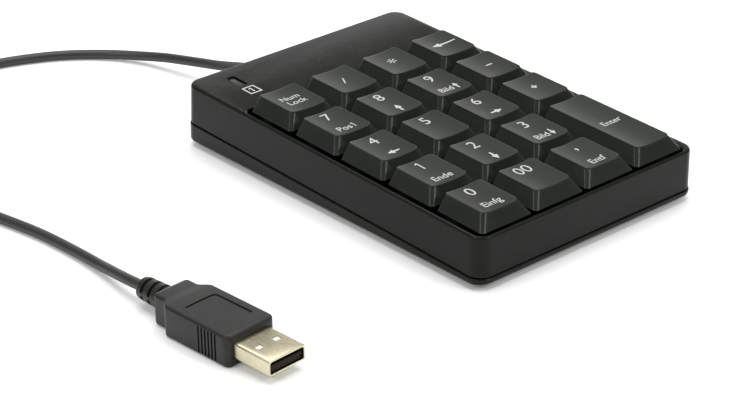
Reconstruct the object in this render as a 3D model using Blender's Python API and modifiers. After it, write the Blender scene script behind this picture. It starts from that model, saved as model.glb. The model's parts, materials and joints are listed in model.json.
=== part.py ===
"""A wired numeric keypad: a low wedge-shaped desk case, nineteen rubber-dome keys and a USB lead.

All lengths below are in millimetres and are turned into metres where a mesh is made.
The deck frame lies in the top face of the case, with its origin at the middle of the key grid,
+X to the user's right and +Y away from the user. The world frame stands on the desk, under the
middle of the case.
"""

import math

import bmesh
import bpy
from mathutils import Vector

MM = 0.001
GAP = 0.3

# Key grid
PITCH = 19.05
COLUMN_X = [(column - 1.5) * PITCH for column in range(4)]
ROW_Y = [(2 - row) * PITCH for row in range(5)]
KEY_ROWS = (
    ("num_lock", "divide", "multiply", "backspace"),
    ("7", "8", "9", "minus"),
    ("4", "5", "6", "plus"),
    ("1", "2", "3"),
    ("0", "00", "decimal"),
)
ENTER_POSITION = (COLUMN_X[3], (ROW_Y[3] + ROW_Y[4]) / 2)

# Keycap, from the deck plane
SKIRT_Z = 0.25
KEY_SHOULDER_Z = 4.1
KEY_TOP_Z = 4.6
KEY_CEILING_Z = 3.2
SKIRT_HALF = (8.98, 8.73)
SHOULDER_HALF = (6.65, 7.6)
TOP_HALF = (6.2, 7.15)
TOP_SHIFT_Y = 1.2
KEY_WALL = 1.2
DISH_DEPTH = 0.45
STEM_HALF = 3.0
KEY_CORNER = 2.0

# Where the deck's origin stands over the desk
DECK_X = -0.4
DECK_Y = -12.78

# Case, in the deck frame
CASE_CENTRE = (1.0, 12.825)
CASE_HALF = (41.05, 61.725)
CASE_CORNER = 4.5
UPPER_INSET = 0.45
RIM_FILLET = 0.8
PARTING_Z = -12.0
FRONT_BOTTOM_Z = -14.1
WEDGE_TILT = math.radians(1.8)
BOTTOM_FILLET = 1.2
TOP_WALL = 1.8
FLOOR_WALL = 0.85
WELL_CENTRE = (0.1, 0.65)
WELL_HALF = (38.6, 48.25)
WELL_CORNER = 2.5
LEDGE_Z = -4.3
ROOM_HALF = (39.75, 60.55)
FOOT_RADIUS = 5.0
FOOT_SHOW = 1.39
FOOT_RECESS = 0.5

# Layers under the keys, in the deck frame
PLATE_TOP_Z = -4.6
PLATE_BOTTOM_Z = -5.6
COLLAR_TOP_Z = -1.0
COLLAR_HALF = 4.7
COLLAR_HOLE_HALF = 3.4
DOME_TOP_Z = -5.95
DOME_SHEET_TOP_Z = -10.3
DOME_SHEET_BOTTOM_Z = -10.9
DOME_BASE_RADIUS = 4.6
DOME_CROWN_RADIUS = 2.9
DOME_WALL = 0.6
LAYERS = {
    "membrane_upper_layer": (-11.35, -11.2),
    "membrane_spacer": (-11.8, -11.65),
    "membrane_lower_layer": (-12.25, -12.1),
    "backing_plate": (-13.0, -12.55),
}
SHEET_HALF = (37.0, 47.0)
SHEET_CENTRE = (0.4, 0.9)
SHEET_CORNER = 2.5
CONTACT_RADIUS = 2.0
THROUGH_Z = (-20.0, -8.0)

# Fasteners, in the deck frame
KEY_AREA_SCREWS = {
    "case_screw_front_left": (-PITCH, -0.5 * PITCH),
    "case_screw_front_right": (PITCH, -0.5 * PITCH),
    "case_screw_centre": (0.0, 0.5 * PITCH),
}
REAR_SCREWS = {"case_screw_rear_left": (-34.0, 67.0), "case_screw_rear_right": (34.8, 67.0)}
BOARD_SCREWS = {"board_screw_left": (-20.0, 54.5), "board_screw_right": (16.0, 54.5)}
SCREW_SHANK = 0.85
SCREW_HEAD = 2.0
SCREW_HEAD_HEIGHT = 1.1
PILOT_RADIUS = 1.15
CLEARANCE_RADIUS = 1.3
COUNTERBORE_RADIUS = 2.4
BOSS_RADIUS = 2.6
HEAD_COVER = 0.3

# Rear room, in the deck frame
BOARD_BOX = ((-30.8, 51.0), (24.0, 67.0))
BOARD_TOP_Z = -10.2
BOARD_BOTTOM_Z = -11.6
LENS_CENTRE = (-27.8, 65.2)
LENS_HALF = (1.1, 3.1)
EXIT_X = 0.4
EXIT_RADIUS = 2.7

# Enter key's stabilizer, in the deck frame
WIRE_RADIUS = 0.5
WIRE_PIVOT = (34.1, -3.0)
WIRE_END = (27.6, 0.4)
WIRE_ARM_Y = 12.2
WIRE_TIP_Y = 8.9

# Lead, in the world frame
CORD_DIAMETER = 3.0
CORD_STEP = 2.5 * CORD_DIAMETER
KEYPAD_SIDE_ROUTE = (
    (0.0, 70.7, 7.6),
    (-0.8, 73.6, 7.5),
    (-3.6, 79.9, 7.1),
    (-7.3, 87.5, 6.4),
    (-9.3, 94.9, 5.6),
    (-11.1, 102.8, 4.6),
    (-12.5, 108.7, 3.8),
    (-15.6, 117.5, 2.5),
    (-22.0, 127.5, 1.7),
    (-32.0, 136.2, 1.55),
    (-44.5, 142.4, 1.55),
    (-59.0, 146.6, 1.55),
    (-74.0, 148.6, 1.55),
    (-88.0, 148.2, 1.55),
    (-100.9, 145.3, 1.55),
)
PLUG_SIDE_ROUTE = (
    (-123.3, 103.5, 1.55),
    (-117.5, 91.5, 1.55),
    (-113.6, 79.0, 1.55),
    (-110.8, 67.0, 1.55),
    (-107.9, 53.5, 1.55),
    (-105.8, 41.8, 1.55),
    (-104.9, 32.7, 1.55),
    (-104.5, 23.8, 1.65),
    (-104.7, 14.6, 2.1),
    (-105.1, 9.7, 2.7),
    (-105.6, 4.5, 3.4),
    (-106.0, -1.0, 4.1),
    (-105.9, -5.8, 4.45),
)
COIL_CENTRE = (-106.0, 121.5)
COIL_RADIUS = 18.0
COIL_COLUMNS = 3
COIL_ROWS = 4
COIL_BOTTOM_Z = 1.2
TIE_ANGLE = math.radians(300)
TIE_WIDTH = 5.0
TIE_WALL = 0.7

# Plug, along its own axis; the origin is the middle of the overmold's front face
PLUG_POSITION = (-103.2, -46.9, 4.5)
PLUG_YAW = math.radians(3.85)
OVERMOLD_HALF = (8.0, 4.5)
OVERMOLD_LENGTH = 25.9
COLLAR_LENGTH = 4.4
COLLAR_SIZE_HALF = (5.8, 4.4)
RELIEF_LENGTH = 10.1
SHELL_HALF = (6.0, 2.25)
SHELL_WALL = 0.4
SHELL_REACH = 12.5
SHELL_ROOT = 4.0
TONGUE_HALF = (5.3, 0.9)
CONTACT_X = (-3.5, -1.0, 1.0, 3.5)


def clear_scene():
    for existing in list(bpy.data.objects):
        bpy.data.objects.remove(existing, do_unlink=True)


def make_collection(name):
    collection = bpy.data.collections.new(name)
    bpy.context.scene.collection.children.link(collection)
    return collection


def make_material(name, colour, roughness, metallic=0.0):
    material = bpy.data.materials.new(name)
    material.use_nodes = True
    shader = material.node_tree.nodes["Principled BSDF"]
    shader.inputs["Base Color"].default_value = (*colour, 1.0)
    shader.inputs["Roughness"].default_value = roughness
    shader.inputs["Metallic"].default_value = metallic
    return material


clear_scene()
PARTS = make_collection("numeric_keypad")
CUTTERS = make_collection("cutters")

MATERIALS = {
    "case_plastic": make_material("case_plastic", (0.030, 0.030, 0.030), 0.45),
    "key_plastic": make_material("key_plastic", (0.035, 0.035, 0.036), 0.40),
    "guide_plastic": make_material("guide_plastic", (0.020, 0.020, 0.022), 0.55),
    "silicone": make_material("silicone", (0.62, 0.64, 0.66), 0.60),
    "membrane_film": make_material("membrane_film", (0.55, 0.60, 0.62), 0.30),
    "steel": make_material("steel", (0.55, 0.56, 0.58), 0.35, 1.0),
    "board": make_material("board", (0.05, 0.22, 0.09), 0.45),
    "chip": make_material("chip", (0.015, 0.015, 0.015), 0.50),
    "lens": make_material("lens", (0.12, 0.15, 0.14), 0.25),
    "led": make_material("led", (0.15, 0.60, 0.20), 0.25),
    "connector": make_material("connector", (0.80, 0.78, 0.70), 0.50),
    "foot_rubber": make_material("foot_rubber", (0.020, 0.020, 0.020), 0.85),
    "cord_pvc": make_material("cord_pvc", (0.022, 0.022, 0.021), 0.50),
    "plug_pvc": make_material("plug_pvc", (0.035, 0.035, 0.034), 0.50),
    "plug_steel": make_material("plug_steel", (0.62, 0.60, 0.53), 0.30, 1.0),
    "plug_insulator": make_material("plug_insulator", (0.03, 0.03, 0.03), 0.50),
    "contact_gold": make_material("contact_gold", (0.85, 0.65, 0.30), 0.30, 1.0),
    "tie": make_material("tie", (0.020, 0.020, 0.022), 0.60),
}


def make_empty(name, location, rotation):
    empty = bpy.data.objects.new(name, None)
    empty.location = [value * MM for value in location]
    empty.rotation_euler = rotation
    PARTS.objects.link(empty)
    return empty


CASE_FRONT_Y = CASE_CENTRE[1] - CASE_HALF[1]
DECK_RAISE = (
    FOOT_SHOW - CASE_FRONT_Y * math.sin(WEDGE_TILT) - FRONT_BOTTOM_Z * math.cos(WEDGE_TILT)
)
DECK = make_empty("deck", (DECK_X, DECK_Y, DECK_RAISE), (WEDGE_TILT, 0, 0))
DESK = make_empty("desk", (0, 0, 0), (0, 0, 0))
PLUG = make_empty("plug", PLUG_POSITION, (math.radians(90), 0, PLUG_YAW))


def place(name, data, material, parent=DECK, location=(0, 0, 0), rotation=(0, 0, 0)):
    """Put finished data in the scene as a part, or as a hidden cutter where material is None."""
    piece = bpy.data.objects.new(name, data)
    piece.parent = parent
    piece.location = [value * MM for value in location]
    piece.rotation_euler = rotation
    if material is None:
        CUTTERS.objects.link(piece)
        piece.hide_render = True
        piece.display_type = "WIRE"
    else:
        PARTS.objects.link(piece)
        data.materials.append(MATERIALS[material])
    return piece


def mesh_from(name, shape):
    mesh = bpy.data.meshes.new(name)
    bmesh.ops.scale(shape, vec=(MM, MM, MM), verts=shape.verts)
    shape.to_mesh(mesh)
    shape.free()
    return mesh


def shade(mesh, angle=35):
    mesh.shade_smooth()
    mesh.set_sharp_from_angle(angle=math.radians(angle))
    return mesh


def rounded_rectangle(half, radius, centre=(0, 0), steps=2):
    """Corner points of a rectangle with round corners, anticlockwise seen from above."""
    points = []
    for corner, (side_x, side_y) in enumerate(((1, 1), (-1, 1), (-1, -1), (1, -1))):
        middle_x = centre[0] + side_x * (half[0] - radius)
        middle_y = centre[1] + side_y * (half[1] - radius)
        for step in range(steps + 1):
            angle = math.radians(90) * (corner + step / steps)
            points.append((middle_x + radius * math.cos(angle), middle_y + radius * math.sin(angle)))
    return points


def level(points, height):
    """Lift flat points to a height, which is a number or a function of x and y."""
    if callable(height):
        return [(x, y, height(x, y)) for x, y in points]
    return [(x, y, height) for x, y in points]


def loft_mesh(name, rings, closed=False):
    """Join rings of equal point counts into one skin, with its ends capped or joined."""
    shape = bmesh.new()
    loops = [[shape.verts.new(point) for point in ring] for ring in rings]
    pairs = list(zip(loops, loops[1:]))
    if closed:
        pairs.append((loops[-1], loops[0]))
    else:
        shape.faces.new(list(reversed(loops[0])))
        shape.faces.new(loops[-1])
    count = len(rings[0])
    for lower, upper in pairs:
        for index in range(count):
            after = (index + 1) % count
            shape.faces.new((lower[index], lower[after], upper[after], upper[index]))
    return shade(mesh_from(name, shape))


def box_mesh(name, boxes):
    """One mesh of several boxes, each given by its lowest and highest corner."""
    shape = bmesh.new()
    for low, high in boxes:
        corners = bmesh.ops.create_cube(shape, size=1.0)["verts"]
        size = [b - a for a, b in zip(low, high)]
        middle = [(a + b) / 2 for a, b in zip(low, high)]
        bmesh.ops.scale(shape, vec=size, verts=corners)
        bmesh.ops.translate(shape, vec=middle, verts=corners)
    return mesh_from(name, shape)


def cone_mesh(name, cones, segments=16):
    """One mesh of several upright cones or cylinders: (x, y, low z, high z, low r, high r)."""
    shape = bmesh.new()
    for x, y, low, high, low_radius, high_radius in cones:
        made = bmesh.ops.create_cone(
            shape,
            cap_ends=True,
            segments=segments,
            radius1=low_radius,
            radius2=high_radius,
            depth=high - low,
        )
        bmesh.ops.translate(shape, vec=(x, y, (low + high) / 2), verts=made["verts"])
    return shade(mesh_from(name, shape))


def turned_mesh(name, profile):
    """An open profile of (radius, height) points, which a Screw modifier turns about Z."""
    mesh = bpy.data.meshes.new(name)
    shape = bmesh.new()
    points = [shape.verts.new((radius * MM, 0, height * MM)) for radius, height in profile]
    for first, second in zip(points, points[1:]):
        shape.edges.new((first, second))
    shape.to_mesh(mesh)
    shape.free()
    return mesh


def turn(piece, steps):
    modifier = piece.modifiers.new("turn", "SCREW")
    modifier.angle = math.radians(360)
    modifier.steps = steps
    modifier.render_steps = steps
    modifier.use_merge_vertices = True
    modifier.merge_threshold = 0.000001
    modifier.use_smooth_shade = True


def combine(target, tool, operation):
    modifier = target.modifiers.new(tool.name, "BOOLEAN")
    modifier.operation = operation
    modifier.object = tool
    modifier.solver = "EXACT"


def cut(target, mesh, parent=DECK, location=(0, 0, 0), rotation=(0, 0, 0)):
    combine(target, place(mesh.name, mesh, None, parent, location, rotation), "DIFFERENCE")


def add(target, mesh, parent=DECK, location=(0, 0, 0)):
    combine(target, place(mesh.name, mesh, None, parent, location), "UNION")


def wire(name, points, radius, material, parent, resolution=2):
    """A tube of round section along straight runs between points."""
    curve = bpy.data.curves.new(name, "CURVE")
    curve.dimensions = "3D"
    curve.bevel_depth = radius * MM
    curve.bevel_resolution = resolution
    curve.use_fill_caps = True
    spline = curve.splines.new("POLY")
    spline.points.add(len(points) - 1)
    for knot, point in zip(spline.points, points):
        knot.co = (*[value * MM for value in point], 1.0)
    return place(name, curve, material, parent)


def smooth_route(route, step):
    """Evenly spaced points on the smooth curve through the points of a route."""
    knots = [Vector(point) for point in route]
    padded = [2 * knots[0] - knots[1], *knots, 2 * knots[-1] - knots[-2]]
    fine = [knots[0]]
    for before, start, end, after in zip(padded, padded[1:], padded[2:], padded[3:]):
        for part in range(1, 21):
            t = part / 20
            fine.append(
                0.5
                * (
                    2 * start
                    + (end - before) * t
                    + (2 * before - 5 * start + 4 * end - after) * t**2
                    + (3 * start - before - 3 * end + after) * t**3
                )
            )
    total = sum((b - a).length for a, b in zip(fine, fine[1:]))
    spacing = total / round(total / step)
    points = [fine[0]]
    travelled = 0.0
    for a, b in zip(fine, fine[1:]):
        travelled += (b - a).length
        if travelled >= spacing * len(points):
            points.append(b)
    if (points[-1] - fine[-1]).length > step / 4:
        points.append(fine[-1])
    return points


def bottom_z(y):
    """Height of the case's underside, in the deck frame."""
    return FRONT_BOTTOM_Z - (y - CASE_FRONT_Y) * math.tan(WEDGE_TILT)


def case_outline(inset, steps=4):
    half = [value - inset for value in CASE_HALF]
    return rounded_rectangle(half, CASE_CORNER - min(inset, 3.0), CASE_CENTRE, steps)


def room_outline(inset, corner):
    half = [value - inset for value in ROOM_HALF]
    return rounded_rectangle(half, corner, CASE_CENTRE, 4)


def build_upper_case():
    """The top shell: bezel, rim round the key well, side walls, bosses and board posts."""
    edge = PARTING_Z + GAP / 2
    fillet = [
        level(
            case_outline(UPPER_INSET + RIM_FILLET * (1 - math.cos(angle))),
            RIM_FILLET * (math.sin(angle) - 1),
        )
        for angle in [math.radians(a) for a in (0, 30, 60, 90)]
    ]
    well = rounded_rectangle(WELL_HALF, WELL_CORNER, WELL_CENTRE, 4)
    room = room_outline(0.0, CASE_CORNER - 1)
    rings = [
        level(case_outline(UPPER_INSET / 2), edge),
        *fillet,
        level(well, 0.0),
        level(well, LEDGE_Z),
        level(room, LEDGE_Z),
        level(room, edge),
    ]
    case = place("upper_case", loft_mesh("upper_case", rings, closed=True), "case_plastic")
    room_back = CASE_CENTRE[1] + ROOM_HALF[1] - 0.6
    ceiling_room = ((-37.8, 50.6, LEDGE_Z - 1), (38.6, room_back, -TOP_WALL))
    cut(case, box_mesh("bezel_room", [ceiling_room]))
    bosses = [
        (x, y, edge, -TOP_WALL + 0.5, BOSS_RADIUS, BOSS_RADIUS) for x, y in REAR_SCREWS.values()
    ]
    posts = [
        (x, y, BOARD_TOP_Z + GAP, -TOP_WALL + 0.5, BOSS_RADIUS, BOSS_RADIUS)
        for x, y in BOARD_SCREWS.values()
    ]
    add(case, cone_mesh("upper_bosses", bosses + posts, 12))
    pilots = [
        (x, y, edge - 1, -TOP_WALL - 1.2, PILOT_RADIUS, PILOT_RADIUS)
        for x, y in [*REAR_SCREWS.values(), *BOARD_SCREWS.values()]
    ]
    cut(case, cone_mesh("upper_pilots", pilots, 8))
    slot = rounded_rectangle([v + GAP for v in LENS_HALF], 1.3, LENS_CENTRE)
    cut(case, loft_mesh("lens_slot", [level(slot, -TOP_WALL - 1), level(slot, 1.0)]))
    return case


def build_indicator():
    """The light pipe in its slot in the bezel, and the lamp below it."""
    outline = rounded_rectangle(LENS_HALF, 1.0, LENS_CENTRE)
    flange = rounded_rectangle([v + 0.9 for v in LENS_HALF], 1.0, LENS_CENTRE)
    rings = [
        level(flange, -3.0),
        level(flange, -TOP_WALL - GAP),
        level(outline, -TOP_WALL - GAP),
        level(outline, -0.25),
    ]
    place("indicator_lens", loft_mesh("indicator_lens", rings), "lens")
    x, y = LENS_CENTRE
    lamp = [
        (x, y, BOARD_TOP_Z + GAP, -6.4, 1.5, 1.5),
    ]
    led = place("indicator_led", cone_mesh("indicator_led", lamp, 12), "led")
    add(led, cone_mesh("led_crown", [(x, y, -6.6, -5.0, 1.5, 0.8)], 12))


def lower_rings():
    """Rings of the base shell, from under the floor, up its wall, over its lip and inside."""
    edge = PARTING_Z - GAP / 2
    lip_top = edge + 1.3
    lip_outside = room_outline(GAP, CASE_CORNER - 1.3)
    lip_inside = room_outline(1.0, CASE_CORNER - 2)
    floor = room_outline(1.1, CASE_CORNER - 2.1)
    return [
        level(case_outline(BOTTOM_FILLET), lambda x, y: bottom_z(y)),
        level(case_outline(BOTTOM_FILLET * 0.3), lambda x, y: bottom_z(y) + BOTTOM_FILLET * 0.3),
        level(case_outline(0), lambda x, y: bottom_z(y) + BOTTOM_FILLET),
        level(case_outline(0), edge),
        level(lip_outside, edge),
        level(lip_outside, lip_top),
        level(lip_inside, lip_top),
        level(floor, lambda x, y: bottom_z(y) + FLOOR_WALL),
    ]


def screw_seat_z(y, rear):
    """Underside of a case screw's head, which sits just inside the case's bottom."""
    depth = 3.4 if rear else HEAD_COVER
    return bottom_z(y) + depth + SCREW_HEAD_HEIGHT


def build_lower_case():
    """The wedge-shaped base shell: floor, ribs, screw bosses and recesses for the feet."""
    case = place("lower_case", loft_mesh("lower_case", lower_rings()), "case_plastic")
    top = LAYERS["backing_plate"][0] - GAP
    for number, x in enumerate(COLUMN_X, 1):
        rib = rounded_rectangle((0.6, 45.0), 0.2, (x, 0.5), 1)
        rings = [level(rib, lambda x, y: bottom_z(y) + 0.6), level(rib, top)]
        add(case, loft_mesh(f"floor_rib_{number}", rings))
    bosses = [
        (x, y, bottom_z(y) + 0.6, top, BOSS_RADIUS + 0.8, BOSS_RADIUS + 0.8)
        for x, y in KEY_AREA_SCREWS.values()
    ]
    rear_top = PARTING_Z - GAP / 2
    bosses += [
        (x, y, bottom_z(y) + 0.6, rear_top, BOSS_RADIUS + 0.6, BOSS_RADIUS + 0.6)
        for x, y in REAR_SCREWS.values()
    ]
    add(case, cone_mesh("lower_bosses", bosses, 16))
    holes = []
    for places, rear in ((KEY_AREA_SCREWS, False), (REAR_SCREWS, True)):
        for x, y in places.values():
            seat = screw_seat_z(y, rear) + GAP
            holes.append((x, y, -25.0, seat, COUNTERBORE_RADIUS, COUNTERBORE_RADIUS))
    cut(case, cone_mesh("counterbores", holes, 16))
    through = [
        (x, y, -20.0, -9.0, CLEARANCE_RADIUS, CLEARANCE_RADIUS)
        for x, y in [*KEY_AREA_SCREWS.values(), *REAR_SCREWS.values()]
    ]
    cut(case, cone_mesh("screw_holes", through, 8))
    recesses = [
        (x, y, -1.0, FOOT_SHOW + FOOT_RECESS, FOOT_RADIUS + GAP, FOOT_RADIUS + GAP)
        for x, y in foot_places().values()
    ]
    cut(case, cone_mesh("foot_recesses", recesses, 20), DESK)
    return case


def foot_places():
    """World x and y of the four feet."""
    reach = (32.5, 53.0)
    return {
        "foot_front_left": (-reach[0], -reach[1]),
        "foot_front_right": (reach[0], -reach[1]),
        "foot_rear_left": (-reach[0], reach[1] - 7.5),
        "foot_rear_right": (reach[0], reach[1] - 7.5),
    }


def build_feet():
    top = FOOT_SHOW + FOOT_RECESS - GAP
    for name, (x, y) in foot_places().items():
        foot = [(x, y, 0.0, top, FOOT_RADIUS, FOOT_RADIUS)]
        place(name, cone_mesh(name, foot, 20), "foot_rubber", DESK)


def build_case_screws():
    """Self-tapping screws, driven from below; the head is at the bottom."""
    for places, rear in ((KEY_AREA_SCREWS, False), (REAR_SCREWS, True)):
        for name, (x, y) in places.items():
            seat = screw_seat_z(y, rear)
            tip = seat + (5.2 if rear else 5.0)
            profile = screw_profile(tip - seat)
            screw = place(name, turned_mesh(name, profile), "steel", location=(x, y, seat))
            turn(screw, 12)


def screw_profile(shank_length):
    """From the tip, down the shank and round the pan head, with the seat at zero."""
    return [
        (0, shank_length),
        (SCREW_SHANK, shank_length - 0.9),
        (SCREW_SHANK, 0),
        (SCREW_HEAD, 0),
        (SCREW_HEAD, -SCREW_HEAD_HEIGHT * 0.5),
        (SCREW_HEAD * 0.75, -SCREW_HEAD_HEIGHT),
        (0, -SCREW_HEAD_HEIGHT),
    ]


def key_places():
    """Name and deck position of each ordinary key."""
    places = {}
    for row, names in enumerate(KEY_ROWS):
        for column, name in enumerate(names):
            places["key_" + name] = (COLUMN_X[column], ROW_Y[row])
    return places


def dish(x, y):
    """Height of the hollowed key top, which is a shallow trough along Y."""
    return KEY_TOP_Z - DISH_DEPTH * (1 - min(1.0, abs(x) / TOP_HALF[0]) ** 2)


def key_rings(extra_y=0.0):
    """Rings of a keycap: up its stem, out under its top, down inside, and up its outside."""

    def ring(half, corner, shift, height):
        outline = rounded_rectangle((half[0], half[1] + extra_y), corner, (0, shift))
        return level(outline, height)

    inside_skirt = [value - KEY_WALL for value in SKIRT_HALF]
    inside_top = [value - KEY_WALL for value in SHOULDER_HALF]
    stem = rounded_rectangle((STEM_HALF, STEM_HALF), 0.8)
    return [
        level(stem, DOME_TOP_Z + GAP),
        level(stem, KEY_CEILING_Z),
        ring(inside_top, 1.2, TOP_SHIFT_Y, KEY_CEILING_Z),
        ring(inside_skirt, 1.2, 0, SKIRT_Z),
        ring(SKIRT_HALF, KEY_CORNER, 0, SKIRT_Z),
        ring(SHOULDER_HALF, KEY_CORNER, TOP_SHIFT_Y, KEY_SHOULDER_Z),
        ring(TOP_HALF, KEY_CORNER - 0.2, TOP_SHIFT_Y, dish),
        ring((3.2, 6.4), 1.0, TOP_SHIFT_Y, dish),
    ]


def build_keys():
    """Eighteen single keys and the tall Enter key with its two stabilizer clips."""
    mesh = loft_mesh("keycap", key_rings())
    for name, (x, y) in key_places().items():
        place(name, mesh.copy(), "key_plastic", location=(x, y, 0))
    x, y = ENTER_POSITION
    tall = loft_mesh("key_enter", key_rings(PITCH / 2))
    enter = place("key_enter", tall, "key_plastic", location=(x, y, 0))
    clips = []
    slots = []
    middle = (WIRE_END[0] + enter_wire_pressed_x()) / 2 - x
    for side in (-1, 1):
        near, far = sorted((side * 9.3, side * 10.9))
        clips.append(((middle - 2.1, near, -1.1), (middle + 2.1, far, KEY_CEILING_Z + 0.4)))
        slots.append(((middle - 1.3, near - 1, -0.4), (middle + 1.3, far + 1, 1.2)))
    add(enter, box_mesh("enter_clips", clips), location=(x, y, 0))
    cut(enter, box_mesh("enter_clip_slots", slots), location=(x, y, 0))


def enter_wire_pressed_x():
    """Where the end of the stabilizer wire lies, across the keypad, at full travel."""
    across = WIRE_PIVOT[0] - WIRE_END[0]
    rise = WIRE_END[1] - WIRE_PIVOT[1]
    arm = math.hypot(across, rise)
    return WIRE_PIVOT[0] - math.sqrt(arm**2 - (rise - 3.0) ** 2)


def build_stabilizer_wire():
    """A bent wire that keeps both ends of the Enter key level; it turns in two hooks."""
    y = ENTER_POSITION[1]
    pivot_x, pivot_z = WIRE_PIVOT
    end_x, end_z = WIRE_END
    points = [
        (end_x, y - WIRE_TIP_Y, end_z),
        (end_x, y - WIRE_ARM_Y + 0.5, end_z),
        (end_x + 0.4, y - WIRE_ARM_Y, end_z - 0.2),
        (pivot_x - 0.4, y - WIRE_ARM_Y, pivot_z + 0.2),
        (pivot_x, y - WIRE_ARM_Y + 0.5, pivot_z),
        (pivot_x, y + WIRE_ARM_Y - 0.5, pivot_z),
        (pivot_x - 0.4, y + WIRE_ARM_Y, pivot_z + 0.2),
        (end_x + 0.4, y + WIRE_ARM_Y, end_z - 0.2),
        (end_x, y + WIRE_ARM_Y - 0.5, end_z),
        (end_x, y + WIRE_TIP_Y, end_z),
    ]
    wire("enter_stabilizer_wire", points, WIRE_RADIUS, "steel", DECK, 1)


def build_guide_plate():
    """The plate that guides every plunger in a square collar, with three screw bosses."""
    outline = rounded_rectangle((38.6, 48.7), 3.3, (CASE_CENTRE[0], 1.4))
    sheet = [level(outline, PLATE_BOTTOM_Z), level(outline, PLATE_TOP_Z)]
    plate = place("key_guide_plate", loft_mesh("key_guide_plate", sheet), "guide_plastic")
    places = [*key_places().values(), ENTER_POSITION]
    overlap = PLATE_BOTTOM_Z + 0.2
    collars = [
        ((x - COLLAR_HALF, y - COLLAR_HALF, overlap), (x + COLLAR_HALF, y + COLLAR_HALF, COLLAR_TOP_Z))
        for x, y in places
    ]
    add(plate, box_mesh("collars", collars))
    hooks = []
    bores = []
    x, z = WIRE_PIVOT
    for side in (-1, 1):
        y = ENTER_POSITION[1] + 7 * side
        hooks.append(((x - 1.2, y - 1, overlap), (x + 1.0, y + 1, z + 1.1)))
        bores.append((0, 0, 7 * side - 2, 7 * side + 2, WIRE_RADIUS + GAP, WIRE_RADIUS + GAP))
    add(plate, box_mesh("wire_hooks", hooks))
    bosses = [
        (x, y, LAYERS["backing_plate"][0], overlap, BOSS_RADIUS - 0.2, BOSS_RADIUS - 0.2)
        for x, y in KEY_AREA_SCREWS.values()
    ]
    add(plate, cone_mesh("plate_bosses", bosses, 12))
    hole = COLLAR_HOLE_HALF
    holes = [((x - hole, y - hole, -20.0), (x + hole, y + hole, 5.0)) for x, y in places]
    cut(plate, box_mesh("plunger_holes", holes))
    pilots = [
        (x, y, -20.0, PLATE_BOTTOM_Z - 0.2, PILOT_RADIUS, PILOT_RADIUS)
        for x, y in KEY_AREA_SCREWS.values()
    ]
    cut(plate, cone_mesh("plate_pilots", pilots, 8))
    bore_place = (WIRE_PIVOT[0], ENTER_POSITION[1], WIRE_PIVOT[1])
    sideways = (math.radians(-90), 0, 0)
    cut(plate, cone_mesh("hook_bores", bores, 8), DECK, bore_place, sideways)


def build_dome_sheet():
    """One moulded sheet of silicone with a hollow dome under each plunger."""
    sheet = sheet_mesh("rubber_dome_sheet", DOME_SHEET_BOTTOM_Z, DOME_SHEET_TOP_Z)
    domes = place("rubber_dome_sheet", sheet, "silicone")
    places = [*key_places().values(), ENTER_POSITION]
    outside = []
    inside = []
    for x, y in places:
        base = DOME_BASE_RADIUS
        crown = DOME_CROWN_RADIUS
        outside.append((x, y, DOME_SHEET_TOP_Z - 0.3, DOME_TOP_Z, base, crown))
        inside.append(
            (x, y, DOME_SHEET_BOTTOM_Z - 1, DOME_TOP_Z - 1.0, base - DOME_WALL, crown - DOME_WALL)
        )
    add(domes, cone_mesh("dome_skins", outside, 10))
    cut(domes, cone_mesh("dome_hollows", inside, 10))
    cut(domes, boss_clearance("dome_sheet_holes"))


def sheet_mesh(name, bottom, top):
    """A flat sheet that fills the base shell inside its lip."""
    outline = rounded_rectangle(SHEET_HALF, SHEET_CORNER, SHEET_CENTRE, 2)
    return loft_mesh(name, [level(outline, bottom), level(outline, top)])


def boss_clearance(name):
    radius = BOSS_RADIUS + GAP
    holes = [(x, y, *THROUGH_Z, radius, radius) for x, y in KEY_AREA_SCREWS.values()]
    return cone_mesh(name, holes, 12)


def board_screw_holes(name):
    radius = CLEARANCE_RADIUS
    holes = [(x, y, *THROUGH_Z, radius, radius) for x, y in BOARD_SCREWS.values()]
    return cone_mesh(name, holes, 8)


def build_membrane_stack():
    """Two printed films with a holed spacer between them, on a stiff steel plate."""
    back = SHEET_CENTRE[1] + SHEET_HALF[1]
    for name, (bottom, top) in LAYERS.items():
        material = "steel" if name == "backing_plate" else "membrane_film"
        layer = place(name, sheet_mesh(name, bottom, top), material)
        if name == "membrane_lower_layer":
            tail = ((-24.0, back - 1, bottom), (20.0, 57.5, top))
            add(layer, box_mesh("membrane_tail", [tail]))
            cut(layer, board_screw_holes("tail_holes"))
        if name == "membrane_spacer":
            places = [*key_places().values(), ENTER_POSITION]
            windows = [(x, y, *THROUGH_Z, CONTACT_RADIUS, CONTACT_RADIUS) for x, y in places]
            cut(layer, cone_mesh("spacer_windows", windows, 8))
        cut(layer, boss_clearance(name + "_holes"))


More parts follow.
